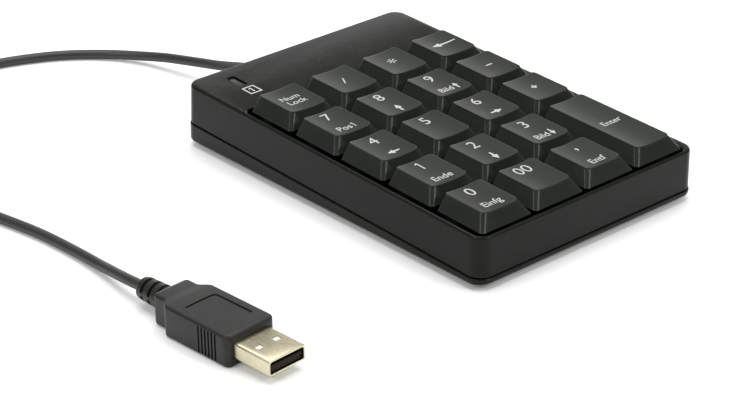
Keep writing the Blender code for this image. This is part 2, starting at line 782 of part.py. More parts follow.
def build_board():
    """The controller board with its chip and plug, and the bar that clamps the film's tail."""
    (left, front), (right, back) = BOARD_BOX
    sheet = ((left, front, BOARD_BOTTOM_Z), (right, back, BOARD_TOP_Z))
    board = place("controller_board", box_mesh("controller_board", [sheet]), "board")
    cut(board, board_screw_holes("board_holes"))
    notch = ((-5.0, back - 1.8, BOARD_BOTTOM_Z - 1), (right + 1, back + 1, BOARD_TOP_Z + 1))
    cut(board, box_mesh("cable_notch", [notch]))
    chip_base = BOARD_TOP_Z + GAP
    chip = ((-9.0, 57.0, chip_base), (-3.0, 61.0, chip_base + 1.5))
    place("controller_chip", box_mesh("controller_chip", [chip]), "chip")
    housing = ((8.0, 59.0, chip_base), (15.5, 64.0, chip_base + 4.0))
    place("cable_connector", box_mesh("cable_connector", [housing]), "connector")
    bar_top = LAYERS["membrane_lower_layer"][0] - GAP
    bar = ((-25.0, 52.0, bar_top - 1.4), (21.0, 57.0, bar_top))
    clamp = place("membrane_clamp_bar", box_mesh("membrane_clamp_bar", [bar]), "steel")
    cut(clamp, board_screw_holes("clamp_holes"))
    seat = bar_top - 1.4 - GAP
    for name, (x, y) in BOARD_SCREWS.items():
        profile = screw_profile(-3.6 - seat)
        screw = place(name, turned_mesh(name, profile), "steel", location=(x, y, seat))
        turn(screw, 12)


def build_cord_exit(upper, lower):
    """The moulded bush that grips the lead in the back wall, and the wires inside."""
    backwards = (math.radians(-90), 0, 0)
    wall_back = CASE_CENTRE[1] + CASE_HALF[1]
    bush_place = (EXIT_X, wall_back, PARTING_Z)
    for case, name in ((upper, "upper_exit"), (lower, "lower_exit")):
        hole = cone_mesh(name, [(0, 0, -3.2, 2.0, EXIT_RADIUS, EXIT_RADIUS)], 16)
        cut(case, hole, DECK, bush_place, backwards)
    neck = EXIT_RADIUS - GAP
    profile = [
        (0, 8.0),
        (1.9, 8.0),
        (2.1, 7.6),
        (2.9, GAP),
        (neck, GAP),
        (neck, -2.4 - GAP),
        (3.4, -2.4 - GAP),
        (3.4, -4.0),
        (0, -4.0),
    ]
    bush = place(
        "cord_strain_relief",
        turned_mesh("cord_strain_relief", profile),
        "cord_pvc",
        location=bush_place,
        rotation=backwards,
    )
    turn(bush, 16)
    inner = wall_back - 4.0 - GAP
    route = [
        (EXIT_X, inner - 0.1, PARTING_Z),
        (EXIT_X, inner - 1.2, PARTING_Z),
        (EXIT_X + 2.0, inner - 2.4, -10.0),
        (EXIT_X + 5.5, inner - 2.8, -8.2),
        (EXIT_X + 9.8, inner - 3.0, -7.9),
        (EXIT_X + 11.1, inner - 4.0, -7.9),
        (EXIT_X + 11.1, 64.0 + 1.5 * GAP, -7.9),
    ]
    wire("internal_cable", smooth_route(route, 2.2), 0.9, "connector", DECK)


def build_cord():
    """The lead as it lies on the desk: two visible stretches and the wound length."""
    for name, route in (
        ("cord_keypad_side", KEYPAD_SIDE_ROUTE),
        ("cord_plug_side", PLUG_SIDE_ROUTE),
    ):
        points = smooth_route(route, CORD_STEP)
        wire(name, points, CORD_DIAMETER / 2, "cord_pvc", DESK)
    half_width = COIL_COLUMNS * CORD_DIAMETER / 2
    height = COIL_ROWS * CORD_DIAMETER
    section = [
        (COIL_RADIUS - half_width + 1, height),
        (COIL_RADIUS + half_width - 1, height),
        (COIL_RADIUS + half_width, height - 1),
        (COIL_RADIUS + half_width, 1),
        (COIL_RADIUS + half_width - 1, 0),
        (COIL_RADIUS - half_width + 1, 0),
        (COIL_RADIUS - half_width, 1),
        (COIL_RADIUS - half_width, height - 1),
        (COIL_RADIUS - half_width + 1, height),
    ]
    coil = place(
        "cord_coil",
        turned_mesh("cord_coil", section),
        "cord_pvc",
        DESK,
        (*COIL_CENTRE, COIL_BOTTOM_Z),
    )
    turn(coil, 28)
    build_coil_tie(half_width, height)


def build_coil_tie(half_width, height):
    """A strap closed round the bundle of turns."""
    inner = (half_width + 2 * GAP, height / 2 + GAP)
    outer = [value + TIE_WALL for value in inner]
    rings = []
    for half, end in ((outer, -1), (outer, 1), (inner, 1), (inner, -1)):
        loop = rounded_rectangle(half, 1.2 if half is outer else 0.6)
        rings.append([(x, y, end * TIE_WIDTH / 2) for x, y in loop])
    reach = Vector((COIL_RADIUS, 0, 0))
    reach.rotate(Vector((1, 0, 0)).rotation_difference(direction(TIE_ANGLE)))
    centre = (COIL_CENTRE[0] + reach.x, COIL_CENTRE[1] + reach.y, COIL_BOTTOM_Z + height / 2)
    mesh = loft_mesh("coil_tie", rings, closed=True)
    place("coil_tie", mesh, "tie", DESK, centre, (math.radians(90), 0, TIE_ANGLE))


def direction(angle):
    return Vector((math.cos(angle), math.sin(angle), 0))


def build_plug():
    """A type A plug: overmold with its ribbed relief, steel shell, tongue and contacts."""
    body = [
        level(rounded_rectangle(OVERMOLD_HALF, 1.0), -OVERMOLD_LENGTH),
        level(rounded_rectangle(OVERMOLD_HALF, 1.0), -1.8),
        level(rounded_rectangle([v - 0.8 for v in OVERMOLD_HALF], 0.9), 0),
    ]
    overmold = place("plug_overmold", loft_mesh("plug_overmold", body), "plug_pvc", PLUG)
    collar = [
        level(rounded_rectangle(COLLAR_SIZE_HALF, 1.0), -OVERMOLD_LENGTH - COLLAR_LENGTH),
        level(rounded_rectangle(COLLAR_SIZE_HALF, 1.0), -OVERMOLD_LENGTH + 1),
    ]
    add(overmold, loft_mesh("plug_collar", collar), PLUG)
    pocket_half = [value + GAP for value in SHELL_HALF]
    pocket = rounded_rectangle(pocket_half, 0.6)
    cut(overmold, loft_mesh("plug_pocket", [level(pocket, -SHELL_ROOT - GAP), level(pocket, 2)]), PLUG)

    outside = rounded_rectangle(SHELL_HALF, 0.5)
    inside = rounded_rectangle([value - SHELL_WALL for value in SHELL_HALF], 0.25)
    shell = [
        level(outside, -SHELL_ROOT),
        level(outside, SHELL_REACH),
        level(inside, SHELL_REACH),
        level(inside, -SHELL_ROOT),
    ]
    steel = place("plug_shell", loft_mesh("plug_shell", shell, closed=True), "plug_steel", PLUG)
    windows = [((x - 1.0, -4, 4.9), (x + 1.0, 4, 6.5)) for x in (-2.9, 2.9)]
    cut(steel, box_mesh("shell_windows", windows), PLUG)

    tongue_y = SHELL_WALL - SHELL_HALF[1] + GAP + TONGUE_HALF[1]
    tongue = rounded_rectangle(TONGUE_HALF, 0.2, (0, tongue_y))
    rings = [level(tongue, -SHELL_ROOT + 0.2), level(tongue, SHELL_REACH - 0.7)]
    insulator = place(
        "plug_insulator", loft_mesh("plug_insulator", rings), "plug_insulator", PLUG
    )
    top = tongue_y + TONGUE_HALF[1]
    grooves = [((x - 0.8, top - 0.45, 2.0), (x + 0.8, top + 1, 11.0)) for x in CONTACT_X]
    cut(insulator, box_mesh("contact_grooves", grooves), PLUG)
    for number, x in enumerate(CONTACT_X, 1):
        name = f"plug_contact_{number}"
        strip = ((x - 0.5, top - 0.15, 2.3), (x + 0.5, top + 0.1, 10.4))
        place(name, box_mesh(name, [strip]), "contact_gold", PLUG)

    root = -OVERMOLD_LENGTH - COLLAR_LENGTH - GAP
    profile = [(0, root), (3.4, root), (3.4, root - 1.2)]
    for rib in range(3):
        start = root - 1.2 - rib * 2.85
        profile += [(2.6, start), (2.6, start - 1.0), (3.4 - 0.1 * rib, start - 1.0)]
        profile.append((3.3 - 0.1 * rib, start - 2.85 if rib < 2 else root - RELIEF_LENGTH + 0.6))
    profile += [(2.6, root - RELIEF_LENGTH), (0, root - RELIEF_LENGTH)]
    relief = place("plug_strain_relief", turned_mesh("plug_strain_relief", profile), "plug_pvc", PLUG)
    turn(relief, 16)


def build_keypad():
    upper = build_upper_case()
    lower = build_lower_case()
    build_indicator()
    build_feet()
    build_case_screws()
    build_keys()
    build_stabilizer_wire()
    build_guide_plate()
    build_dome_sheet()
    build_membrane_stack()
    build_board()
    build_cord_exit(upper, lower)
    build_cord()
    build_plug()


build_keypad()
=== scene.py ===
"""Looks of the wired numeric keypad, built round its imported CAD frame.

Shapes are worked out in millimetres in three frames of the CAD: the deck, which lies in the tilted
top face with its origin at the middle of the key grid, the plug, whose Z is the way it goes in,
and the desk. Every mesh ends in metres in the frame of the CAD.
"""

import json
import math

import bmesh
import bpy
from mathutils import Euler, Matrix, Vector


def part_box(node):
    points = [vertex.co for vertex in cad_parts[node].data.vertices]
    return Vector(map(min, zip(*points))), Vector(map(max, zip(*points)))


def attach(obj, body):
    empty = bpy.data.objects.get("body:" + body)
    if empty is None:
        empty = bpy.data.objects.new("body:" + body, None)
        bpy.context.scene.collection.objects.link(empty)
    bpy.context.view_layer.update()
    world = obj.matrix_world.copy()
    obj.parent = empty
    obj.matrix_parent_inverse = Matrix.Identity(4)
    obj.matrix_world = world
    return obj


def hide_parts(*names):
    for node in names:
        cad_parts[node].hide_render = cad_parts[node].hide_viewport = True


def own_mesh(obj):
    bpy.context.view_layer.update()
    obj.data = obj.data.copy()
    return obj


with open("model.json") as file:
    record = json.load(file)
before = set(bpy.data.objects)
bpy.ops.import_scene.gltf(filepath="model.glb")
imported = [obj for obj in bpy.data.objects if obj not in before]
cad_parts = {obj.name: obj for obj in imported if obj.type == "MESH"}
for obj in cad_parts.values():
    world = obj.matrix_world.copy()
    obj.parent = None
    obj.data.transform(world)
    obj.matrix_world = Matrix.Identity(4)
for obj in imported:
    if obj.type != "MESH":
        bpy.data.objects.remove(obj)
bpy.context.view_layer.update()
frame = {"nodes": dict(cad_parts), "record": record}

MM = 0.001
PITCH = 19.05
METRES = Matrix.Scale(MM, 4)
DESK = Matrix.Identity(4)
DECK_TILT = math.radians(1.8)
DECK = Matrix.Translation((-0.4, -12.78, 17.0193)) @ Matrix.Rotation(DECK_TILT, 4, "X")
PLUG_YAW = math.radians(3.85)
PLUG = (
    Matrix.Translation((-103.2, -46.9, 4.5))
    @ Euler((math.radians(90), 0, PLUG_YAW)).to_matrix().to_4x4()
)


def put_in_scene(name, data):
    made = bpy.data.objects.new(name, data)
    bpy.context.scene.collection.objects.link(made)
    return made


# ---- camera


def make_camera():
    """A long lens, low in front of the keypad and to its left."""
    data = bpy.data.cameras.new("camera")
    data.sensor_width = 36.0
    data.lens = 119.3
    data.shift_x = -0.0138
    data.shift_y = 0.0008
    data.clip_start = 0.01
    data.clip_end = 20.0
    camera = put_in_scene("camera", data)
    forward = Vector((0.5881, 0.6711, -0.4515)).normalized()
    level = forward.cross(Vector((0, 0, 1))).normalized()
    upright = level.cross(forward)
    roll = math.radians(-0.584)
    right = level * math.cos(roll) + upright * math.sin(roll)
    up = upright * math.cos(roll) - level * math.sin(roll)
    turn = Matrix((right, up, -forward)).transposed().to_4x4()
    camera.matrix_world = Matrix.Translation((-0.41905, -0.45428, 0.30287)) @ turn
    bpy.context.scene.camera = camera


make_camera()

# ---- lead

CORD_DIAMETER = 3.0
DESK_Z = 1.55
KEYPAD_SIDE = (
    (0.0, 69.8, 7.6), (-0.8, 73.6, 7.5), (-3.6, 79.9, 7.1), (-7.3, 87.5, 6.4), (-9.3, 94.9, 5.6),
    (-11.1, 102.8, 4.6), (-12.5, 108.7, 3.8), (-15.6, 117.5, 2.5), (-22.0, 127.5, 1.7),
    (-32.0, 136.2, DESK_Z), (-44.5, 142.4, DESK_Z), (-59.0, 146.6, DESK_Z),
    (-74.0, 148.6, DESK_Z), (-88.0, 148.2, DESK_Z),
)
PLUG_SIDE = (
    (-123.3, 103.5, DESK_Z), (-117.5, 91.5, DESK_Z), (-113.6, 79.0, DESK_Z),
    (-110.8, 67.0, DESK_Z), (-107.9, 53.5, DESK_Z), (-105.8, 41.8, DESK_Z),
    (-104.9, 32.7, DESK_Z), (-104.5, 23.8, 1.65), (-104.7, 14.6, 2.1), (-105.1, 9.7, 2.7),
    (-105.6, 4.5, 3.4), (-106.0, -1.0, 4.1), (-105.9, -5.8, 4.45), (-105.8, -8.4, 4.5),
)
COIL_CENTRE = (-106.0, 121.5)
COIL_TIE_ANGLE = 300.0
COIL_TIE_LIFT = 1.2
LANES = (21.0, 18.0, 15.0)
# lane and row of each turn: wound inwards and outwards by turns, and the last one stops a lane in
TURNS = ((0, 0), (1, 0), (2, 0), (2, 1), (1, 1), (0, 1), (0, 2), (1, 2), (2, 2), (2, 3), (1, 3))
SHIFT_FROM = 52.5
SHIFT_SPAN = 110.0
COIL_ARRIVES = 34
COIL_LEAVES = 330.0
LEAVING = (
    (0.0, 19.2, 10.6), (30.0, 21.3, 10.5), (55.0, 23.2, 9.6), (80.0, 24.6, 7.7),
    (107.5, 25.0, 5.4), (135.0, 24.6, 3.4), (160.0, 24.3, 2.0),
)
LEAVING_ON_DESK = ((182.0, 24.0), (196.0, 24.2))


def smoothstep(value):
    value = min(1.0, max(0.0, value))
    return value * value * (3 - 2 * value)


def coil_point(angle, radius, height):
    turn = math.radians(angle)
    x, y = COIL_CENTRE
    return Vector((x + radius * math.cos(turn), y + radius * math.sin(turn), height))


def tie_lift(angle):
    """The turns rise a little where the tie's strap passes under them."""
    away = abs((angle - COIL_TIE_ANGLE + 180) % 360 - 180)
    return COIL_TIE_LIFT * (1 - smoothstep((away - 10) / 55))


def coil_points():
    """The wound turns. Each eases into the next lane or row within one sector of the coil."""
    points = []
    before = (LANES[0] + CORD_DIAMETER, 0)
    last = 360 * (len(TURNS) - 1) + COIL_LEAVES - SHIFT_FROM
    for count, (lane, row) in enumerate(TURNS):
        first = COIL_ARRIVES if count == 0 else 0
        for travelled in range(first, 360, 12):
            if 360 * count + travelled > last:
                break
            share = smoothstep(travelled / SHIFT_SPAN)
            radius = before[0] + (LANES[lane] - before[0]) * share
            level = before[1] + (row - before[1]) * share
            if before[1] != row:
                radius += math.sin(math.pi * share) * (1.5 if lane == 0 else -1.5)
            angle = SHIFT_FROM + travelled
            height = DESK_Z + CORD_DIAMETER * level + tie_lift(angle)
            points.append(coil_point(angle, radius, height))
        before = (LANES[lane], row)
    points += [coil_point(*place) for place in LEAVING]
    points += [coil_point(angle, radius, DESK_Z) for angle, radius in LEAVING_ON_DESK]
    return points


def smooth_route(route, step):
    """Points a short, even step apart on the smooth curve through the points of a route."""
    knots = [Vector(point) for point in route]
    padded = [2 * knots[0] - knots[1], *knots, 2 * knots[-1] - knots[-2]]
    points = [knots[0]]
    for before, start, end, after in zip(padded, padded[1:], padded[2:], padded[3:]):
        parts = max(1, round((end - start).length / step))
        for part in range(1, parts + 1):
            t = part / parts
            bend = (2 * before - 5 * start + 4 * end - after) * t**2
            twist = (3 * start - before - 3 * end + after) * t**3
            points.append(0.5 * (2 * start + (end - before) * t + bend + twist))
    return points


def make_lead():
    route = smooth_route([*KEYPAD_SIDE, *coil_points(), *PLUG_SIDE], 1.6)
    curve = bpy.data.curves.new("lead", "CURVE")
    curve.dimensions = "3D"
    curve.bevel_depth = 1.0  # times each point's own radius
    curve.bevel_resolution = 4
    curve.use_fill_caps = True
    spline = curve.splines.new("POLY")
    spline.points.add(len(route) - 1)
    for knot, point in zip(spline.points, route):
        point.z = max(point.z, DESK_Z)
        knot.co = (*(point * MM), 1.0)
        knot.radius = CORD_DIAMETER / 2 * MM
    spline.use_smooth = True
    lead = put_in_scene("lead", curve)
    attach(lead, "base")
    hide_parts("cord_keypad_side", "cord_coil", "cord_plug_side")
    return lead


LEAD = make_lead()


# ---- shape tools


def grown(half, by):
    """Half sizes, each grown by an amount or, if it is negative, shrunk."""
    return [value + by for value in half]


def quarter_turn(steps, first=0):
    """Cosine and sine at even steps of a quarter turn."""
    for step in range(first, steps + 1):
        angle = math.radians(90) * step / steps
        yield math.cos(angle), math.sin(angle)


def rounded_rectangle(half, radius, centre=(0, 0), steps=6):
    """Corner points of a rectangle with round corners, anticlockwise seen from above."""
    points = []
    for corner, (side_x, side_y) in enumerate(((1, 1), (-1, 1), (-1, -1), (1, -1))):
        middle_x = centre[0] + side_x * (half[0] - radius)
        middle_y = centre[1] + side_y * (half[1] - radius)
        for step in range(steps + 1):
            angle = math.radians(90) * (corner + step / steps)
            x = middle_x + radius * math.cos(angle)
            points.append((x, middle_y + radius * math.sin(angle)))
    return points


def level(points, height):
    """Lift flat points to a height, which is a number or a function of x and y."""
    if callable(height):
        return [(x, y, height(x, y)) for x, y in points]
    return [(x, y, height) for x, y in points]


def add_loft(shape, rings, closed=False):
    """Skin rings of equal counts, with a face over each end, or closed back on the first."""
    loops = [[shape.verts.new(point) for point in ring] for ring in rings]
    pairs = list(zip(loops, loops[1:]))
    if closed:
        pairs.append((loops[-1], loops[0]))
    else:
        shape.faces.new(list(reversed(loops[0])))
        shape.faces.new(loops[-1])
    count = len(rings[0])
    for lower, upper in pairs:
        for index in range(count):
            after = (index + 1) % count
            shape.faces.new((lower[index], lower[after], upper[after], upper[index]))


def loft(rings, closed=False):
    shape = bmesh.new()
    add_loft(shape, rings, closed)
    return shape


def add_turned(shape, profile, segments=32, matrix=None):
    """A closed solid turned about Z from (radius, height) points that start and end at radius 0."""
    start = shape.verts.new((0, 0, profile[0][1]))
    end = shape.verts.new((0, 0, profile[-1][1]))
    made = [start, end]
    rings = []
    for radius, height in profile[1:-1]:
        ring = []
        for index in range(segments):
            angle = math.tau * index / segments
            x, y = radius * math.cos(angle), radius * math.sin(angle)
            ring.append(shape.verts.new((x, y, height)))
        rings.append(ring)
        made += ring
    for index in range(segments):
        after = (index + 1) % segments
        shape.faces.new((start, rings[0][index], rings[0][after]))
        shape.faces.new((rings[-1][index], end, rings[-1][after]))
        for lower, upper in zip(rings, rings[1:]):
            shape.faces.new((lower[index], upper[index], upper[after], lower[after]))
    if matrix is not None:
        bmesh.ops.transform(shape, matrix=matrix, verts=made)


def turned(profile, segments=32):
    shape = bmesh.new()
    add_turned(shape, profile, segments)
    return shape


def add_box(shape, low, high):
    corners = bmesh.ops.create_cube(shape, size=1.0)["verts"]
    size = [b - a for a, b in zip(low, high)]
    middle = [(a + b) / 2 for a, b in zip(low, high)]
    bmesh.ops.scale(shape, vec=size, verts=corners)
    bmesh.ops.translate(shape, vec=middle, verts=corners)


def box(low, high):
    shape = bmesh.new()
    add_box(shape, low, high)
    return shape


def make_mesh(name, shape, matrix):
    """Turn a shape in millimetres, placed by a matrix, into a mesh in metres."""
    bmesh.ops.recalc_face_normals(shape, faces=shape.faces)
    shape.transform(METRES @ matrix)
    mesh = bpy.data.meshes.new(name)
    shape.to_mesh(mesh)
    shape.free()
    return mesh


def carve(mesh, tool, matrix, operation="DIFFERENCE"):
    """The mesh after one boolean with a tool, a shape in millimetres placed by a matrix."""
    target = put_in_scene("target", mesh)
    cutter = put_in_scene("tool", make_mesh("tool", tool, matrix))
    modifier = target.modifiers.new("carve", "BOOLEAN")
    modifier.operation = operation
    modifier.object = cutter
    modifier.solver = "EXACT"
    graph = bpy.context.evaluated_depsgraph_get()
    result = bpy.data.meshes.new_from_object(target.evaluated_get(graph))
    name = mesh.name
    for piece in (target, cutter):
        data = piece.data
        bpy.data.objects.remove(piece)
        bpy.data.meshes.remove(data)
    result.name = name
    return result


def mark_edges(mesh):
    """Store how sharply each point of the surface bulges, which the materials wear and polish."""
    shape = bmesh.new()
    shape.from_mesh(mesh)
    values = []
    for vert in shape.verts:
        bulge = 0.0
        for edge in vert.link_edges:
            if len(edge.link_faces) == 2 and edge.is_convex:
                length = max(edge.calc_length(), 0.001 * MM)
                width = max(edge.link_faces[0].calc_area() / length, 0.05 * MM)
                bulge = max(bulge, edge.calc_face_angle(0.0) / width * MM)
        values.append(min(1.0, bulge * 0.6))
    shape.free()
    layer = mesh.attributes.new("edge_wear", "FLOAT", "POINT")
    layer.data.foreach_set("value", values)


def add_piece(name, mesh, slot, body="base", replaces=(), sharp=32.0):
    """Put a finished mesh in the scene, riding on its body, in its slot's material."""
    mesh.shade_smooth()
    mesh.set_sharp_from_angle(angle=math.radians(sharp))
    mark_edges(mesh)
    mesh.materials.clear()
    mesh.materials.append(MATERIALS[slot])
    piece = put_in_scene(name, mesh)
    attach(piece, body)
    if replaces:
        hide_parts(*replaces)
    return piece


def add_shape(name, shape, matrix, slot, **options):
    """Put a finished shape in millimetres, placed by a matrix, in the scene."""
    return add_piece(name, make_mesh(name, shape, matrix), slot, **options)


def node_centre(node):
    low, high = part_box(node)
    return (low + high) / 2 / MM


# ---- materials


def fill(node, inputs):
    for name, value in inputs.items():
        node.inputs[name].default_value = value


class Graph:
    """Short names for building a node material."""

    def __init__(self, name):
        self.material = bpy.data.materials.new(name)
        self.material.use_nodes = True
        self.tree = self.material.node_tree
        self.shader = self.tree.nodes["Principled BSDF"]

    def node(self, kind, inputs=None, **settings):
        made = self.tree.nodes.new(kind)
        for key, value in settings.items():
            setattr(made, key, value)
        fill(made, inputs or {})
        return made

    def link(self, output, target):
        self.tree.links.new(output, target)

    def pattern(self, kind, inputs, space="Object", **settings):
        """A node fed with one of the texture coordinates."""
        place = self.node("ShaderNodeTexCoord")
        made = self.node(kind, inputs, **settings)
        self.link(place.outputs[space], made.inputs["Vector"])
        return made

    def noise(self, scale, detail=2.0, stretch=(1, 1, 1)):
        """Noise in object space, with this many features to the metre."""
        mapping = self.pattern("ShaderNodeMapping", {"Scale": stretch})
        texture = self.node("ShaderNodeTexNoise", {"Scale": scale, "Detail": detail})
        self.link(mapping.outputs["Vector"], texture.inputs["Vector"])
        return texture.outputs["Fac"]

    def spread(self, source, low, high, start=0.35, stop=0.65):
        """Map the middle of a source's range to a range of values."""
        limits = {"From Min": start, "From Max": stop, "To Min": low, "To Max": high}
        made = self.node("ShaderNodeMapRange", limits)
        self.link(source, made.inputs["Value"])
        return made.outputs["Result"]

    def maths(self, operation, first, second):
        made = self.node("ShaderNodeMath", operation=operation)
        for socket, value in zip(made.inputs, (first, second)):
            if isinstance(value, (int, float)):
                socket.default_value = value
            else:
                self.link(value, socket)
        return made.outputs["Value"]

    def mix(self, share, first, second):
        """Mix two colours, or sockets that give one, by a socket's share of the second."""
        made = self.node("ShaderNodeMix", data_type="RGBA")
        sockets = [socket for socket in made.inputs if socket.type == "RGBA"]
        for socket, value in zip(sockets, (first, second)):
            if isinstance(value, tuple):
                socket.default_value = (*value, 1.0)
            else:
                self.link(value, socket)
        self.link(share, made.inputs["Factor"])
        return next(socket for socket in made.outputs if socket.type == "RGBA")

    def vary(self, source, first, second):
        """A colour that goes from one to the other across the middle of a source's range."""
        return self.mix(self.spread(source, 0.0, 1.0), first, second)

    def bump(self, height, depth, strength=1.0, below=None):
        made = self.node("ShaderNodeBump", {"Distance": depth * MM, "Strength": strength})
        self.link(height, made.inputs["Height"])
        if below is not None:
            self.link(below, made.inputs["Normal"])
        return made.outputs["Normal"]

    def finish(self, colour, roughness, normal):
        self.link(colour, self.shader.inputs["Base Color"])
        self.link(roughness, self.shader.inputs["Roughness"])
        self.link(normal, self.shader.inputs["Normal"])
        return self.material


def shaded(colour, gain):
    return tuple(min(1.0, value * gain) for value in colour)


def plastic(graph, colour, roughness, grain=0.22, depth=0.012, worn=1.6, specular=0.5, sides=0):
    """Moulded plastic: spark-eroded grain, slight flow marks, and edges polished by handling."""
    flow = graph.noise(55.0, 3.0)
    specks = graph.noise(1000 / grain, 1.0)
    tone = graph.vary(flow, shaded(colour, 0.88), shaded(colour, 1.12))
    tone = graph.mix(graph.spread(specks, 0.0, 0.25), tone, shaded(colour, 1.5))
    wear = graph.node("ShaderNodeAttribute", attribute_name="edge_wear").outputs["Fac"]
    smudges = graph.noise(210.0, 3.0)
    wear_share = graph.maths("MULTIPLY", wear, graph.spread(smudges, 0.25, 0.7))
    tone = graph.mix(wear_share, tone, shaded(colour, worn))
    rough = graph.spread(smudges, roughness - 0.015, roughness + 0.02)
    rough = graph.maths("SUBTRACT", rough, graph.maths("MULTIPLY", wear, 0.08))
    if sides:
        split = graph.pattern("ShaderNodeSeparateXYZ", {}, "Normal")
        upward = graph.spread(split.outputs["Z"], -sides, 0.0, 0.6, 0.85)
        rough = graph.maths("ADD", rough, upward)
    normal = graph.bump(specks, depth)
    normal = graph.bump(flow, 0.015, 0.3, normal)
    graph.shader.inputs["Specular IOR Level"].default_value = specular
    return graph.finish(tone, rough, normal)


def metal(graph, colour, roughness, stretch=(1, 1, 1), scratch=0.004):
    """Plated or bare metal with fine scratches along one way and slight stains."""
    stains = graph.noise(260.0, 3.0)
    lines = graph.noise(9000.0, 2.0, stretch)
    tone = graph.vary(stains, shaded(colour, 0.94), shaded(colour, 1.04))
    tone = graph.mix(graph.spread(lines, 0.0, 0.12), tone, shaded(colour, 0.8))
    rough = graph.spread(lines, roughness - 0.03, roughness + 0.05)
    graph.shader.inputs["Metallic"].default_value = 1.0
    return graph.finish(tone, rough, graph.bump(lines, scratch))


def board_material(graph):
    """Solder mask over copper tracks, with bare pads."""
    settings = {"Scale": 330.0, "Mortar Size": 0.06, "Mortar": (0.06, 0.30, 0.12, 1)}
    settings |= {"Color1": (0.02, 0.16, 0.06, 1), "Color2": (0.03, 0.20, 0.08, 1)}
    tracks = graph.pattern("ShaderNodeTexBrick", settings)
    mottle = graph.noise(420.0)
    tone = graph.mix(graph.spread(mottle, 0.0, 0.25), tracks.outputs["Color"], (0.01, 0.09, 0.03))
    normal = graph.bump(tracks.outputs["Fac"], 0.03)
    return graph.finish(tone, graph.spread(mottle, 0.3, 0.42), normal)


def film_material(graph):
    """Clear film with printed silver tracks."""
    waves = graph.pattern("ShaderNodeTexWave", {"Scale": 160.0, "Distortion": 1.5})
    printed = graph.spread(waves.outputs["Fac"], 0.0, 1.0, 0.86, 0.9)
    haze = graph.noise(90.0)
    clear = graph.vary(haze, (0.50, 0.56, 0.58), (0.60, 0.65, 0.66))
    tone = graph.mix(printed, clear, (0.72, 0.72, 0.70))
    rough = graph.spread(printed, 0.22, 0.45, 0.0, 1.0)
    graph.shader.inputs["Transmission Weight"].default_value = 0.35
    return graph.finish(tone, rough, graph.bump(printed, 0.01))


def woven_material(graph, colour):
    """A narrow hook-and-loop strap: crossed threads with a short fuzz."""
    settings = {"Scale": 500.0, "Distortion": 2.0}
    threads = graph.pattern("ShaderNodeTexWave", settings, bands_direction="Z")
    fuzz = graph.noise(5200.0, 3.0)
    tone = graph.mix(threads.outputs["Fac"], shaded(colour, 0.6), shaded(colour, 1.7))
    tone = graph.mix(graph.spread(fuzz, 0.0, 0.5), tone, shaded(colour, 2.4))
    normal = graph.bump(threads.outputs["Fac"], 0.08)
    normal = graph.bump(fuzz, 0.06, 0.8, normal)
    graph.shader.inputs["Sheen Weight"].default_value = 0.3
    return graph.finish(tone, graph.spread(fuzz, 0.75, 0.95), normal)


def ink_material(graph):
    """Pad-printed white ink, very slightly uneven."""
    cover = graph.noise(2600.0, 2.0)
    tone = graph.vary(cover, (0.42, 0.43, 0.42), (0.50, 0.51, 0.49))
    return graph.finish(tone, graph.spread(cover, 0.45, 0.62), graph.bump(cover, 0.004))


def lens_material(graph):
    """Smoky clear plastic over a green lamp that is off."""
    depth = graph.noise(380.0)
    tone = graph.vary(depth, (0.008, 0.012, 0.010), (0.014, 0.019, 0.016))
    graph.shader.inputs["Transmission Weight"].default_value = 0.15
    return graph.finish(tone, graph.spread(depth, 0.25, 0.36), graph.bump(depth, 0.01))


CASE_COLOUR = (0.0085, 0.0088, 0.0077)
KEY_COLOUR = (0.0176, 0.0198, 0.0166)
RECIPES = {
    "case_plastic": (plastic, CASE_COLOUR, 0.30, 0.25, 0.008, 1.6, 0.115),
    "key_plastic": (plastic, KEY_COLOUR, 0.36, 0.20, 0.006, 1.6, 0.14, 0.18),
    "legend_ink": (ink_material,),
    "guide_plastic": (plastic, (0.004, 0.004, 0.0042), 0.75, 0.2, 0.015, 1.2, 0.05),
    "silicone": (plastic, (0.60, 0.62, 0.64), 0.55, 0.5, 0.01, 1.05),
    "membrane_film": (film_material,),
    "steel": (metal, (0.55, 0.56, 0.58), 0.32, (1, 0.1, 1)),
    "board": (board_material,),
    "chip": (plastic, (0.015, 0.015, 0.016), 0.5, 0.12, 0.006),
    "lens": (lens_material,),
    "led": (plastic, (0.15, 0.60, 0.20), 0.25, 0.4, 0.002, 1.1),
    "connector": (plastic, (0.78, 0.76, 0.68), 0.45, 0.3, 0.006, 1.1),
    "foot_rubber": (plastic, (0.018, 0.018, 0.018), 0.8, 0.35, 0.03, 1.3, 0.3),
    "cord_pvc": (plastic, (0.020, 0.020, 0.019), 0.42, 0.3, 0.008, 1.2),
    "plug_pvc": (plastic, (0.0145, 0.0152, 0.0138), 0.42, 0.28, 0.012, 1.5, 0.26),
    "plug_steel": (metal, (0.61, 0.562, 0.40), 0.30, (1, 0.05, 1), 0.0006),
    "plug_insulator": (plastic, (0.015, 0.009, 0.005), 0.5, 0.2, 0.004, 1.2, 0.15),
    "contact_gold": (metal, (0.90, 0.68, 0.32), 0.22, (1, 0.1, 1), 0.001),
    "tie": (woven_material, (0.016, 0.016, 0.017)),
}
MATERIALS = {name: make(Graph(name), *values) for name, (make, *values) in RECIPES.items()}


def finish_cad_nodes():
    """Give each CAD node its slot's material."""
    for part in frame["record"]["subparts"]:
        node = frame["nodes"][part["node"]]
        for holder in node.material_slots:
            holder.material = MATERIALS[part["material_slot"]]


finish_cad_nodes()
LEAD.data.materials.append(MATERIALS["cord_pvc"])

# ---- case

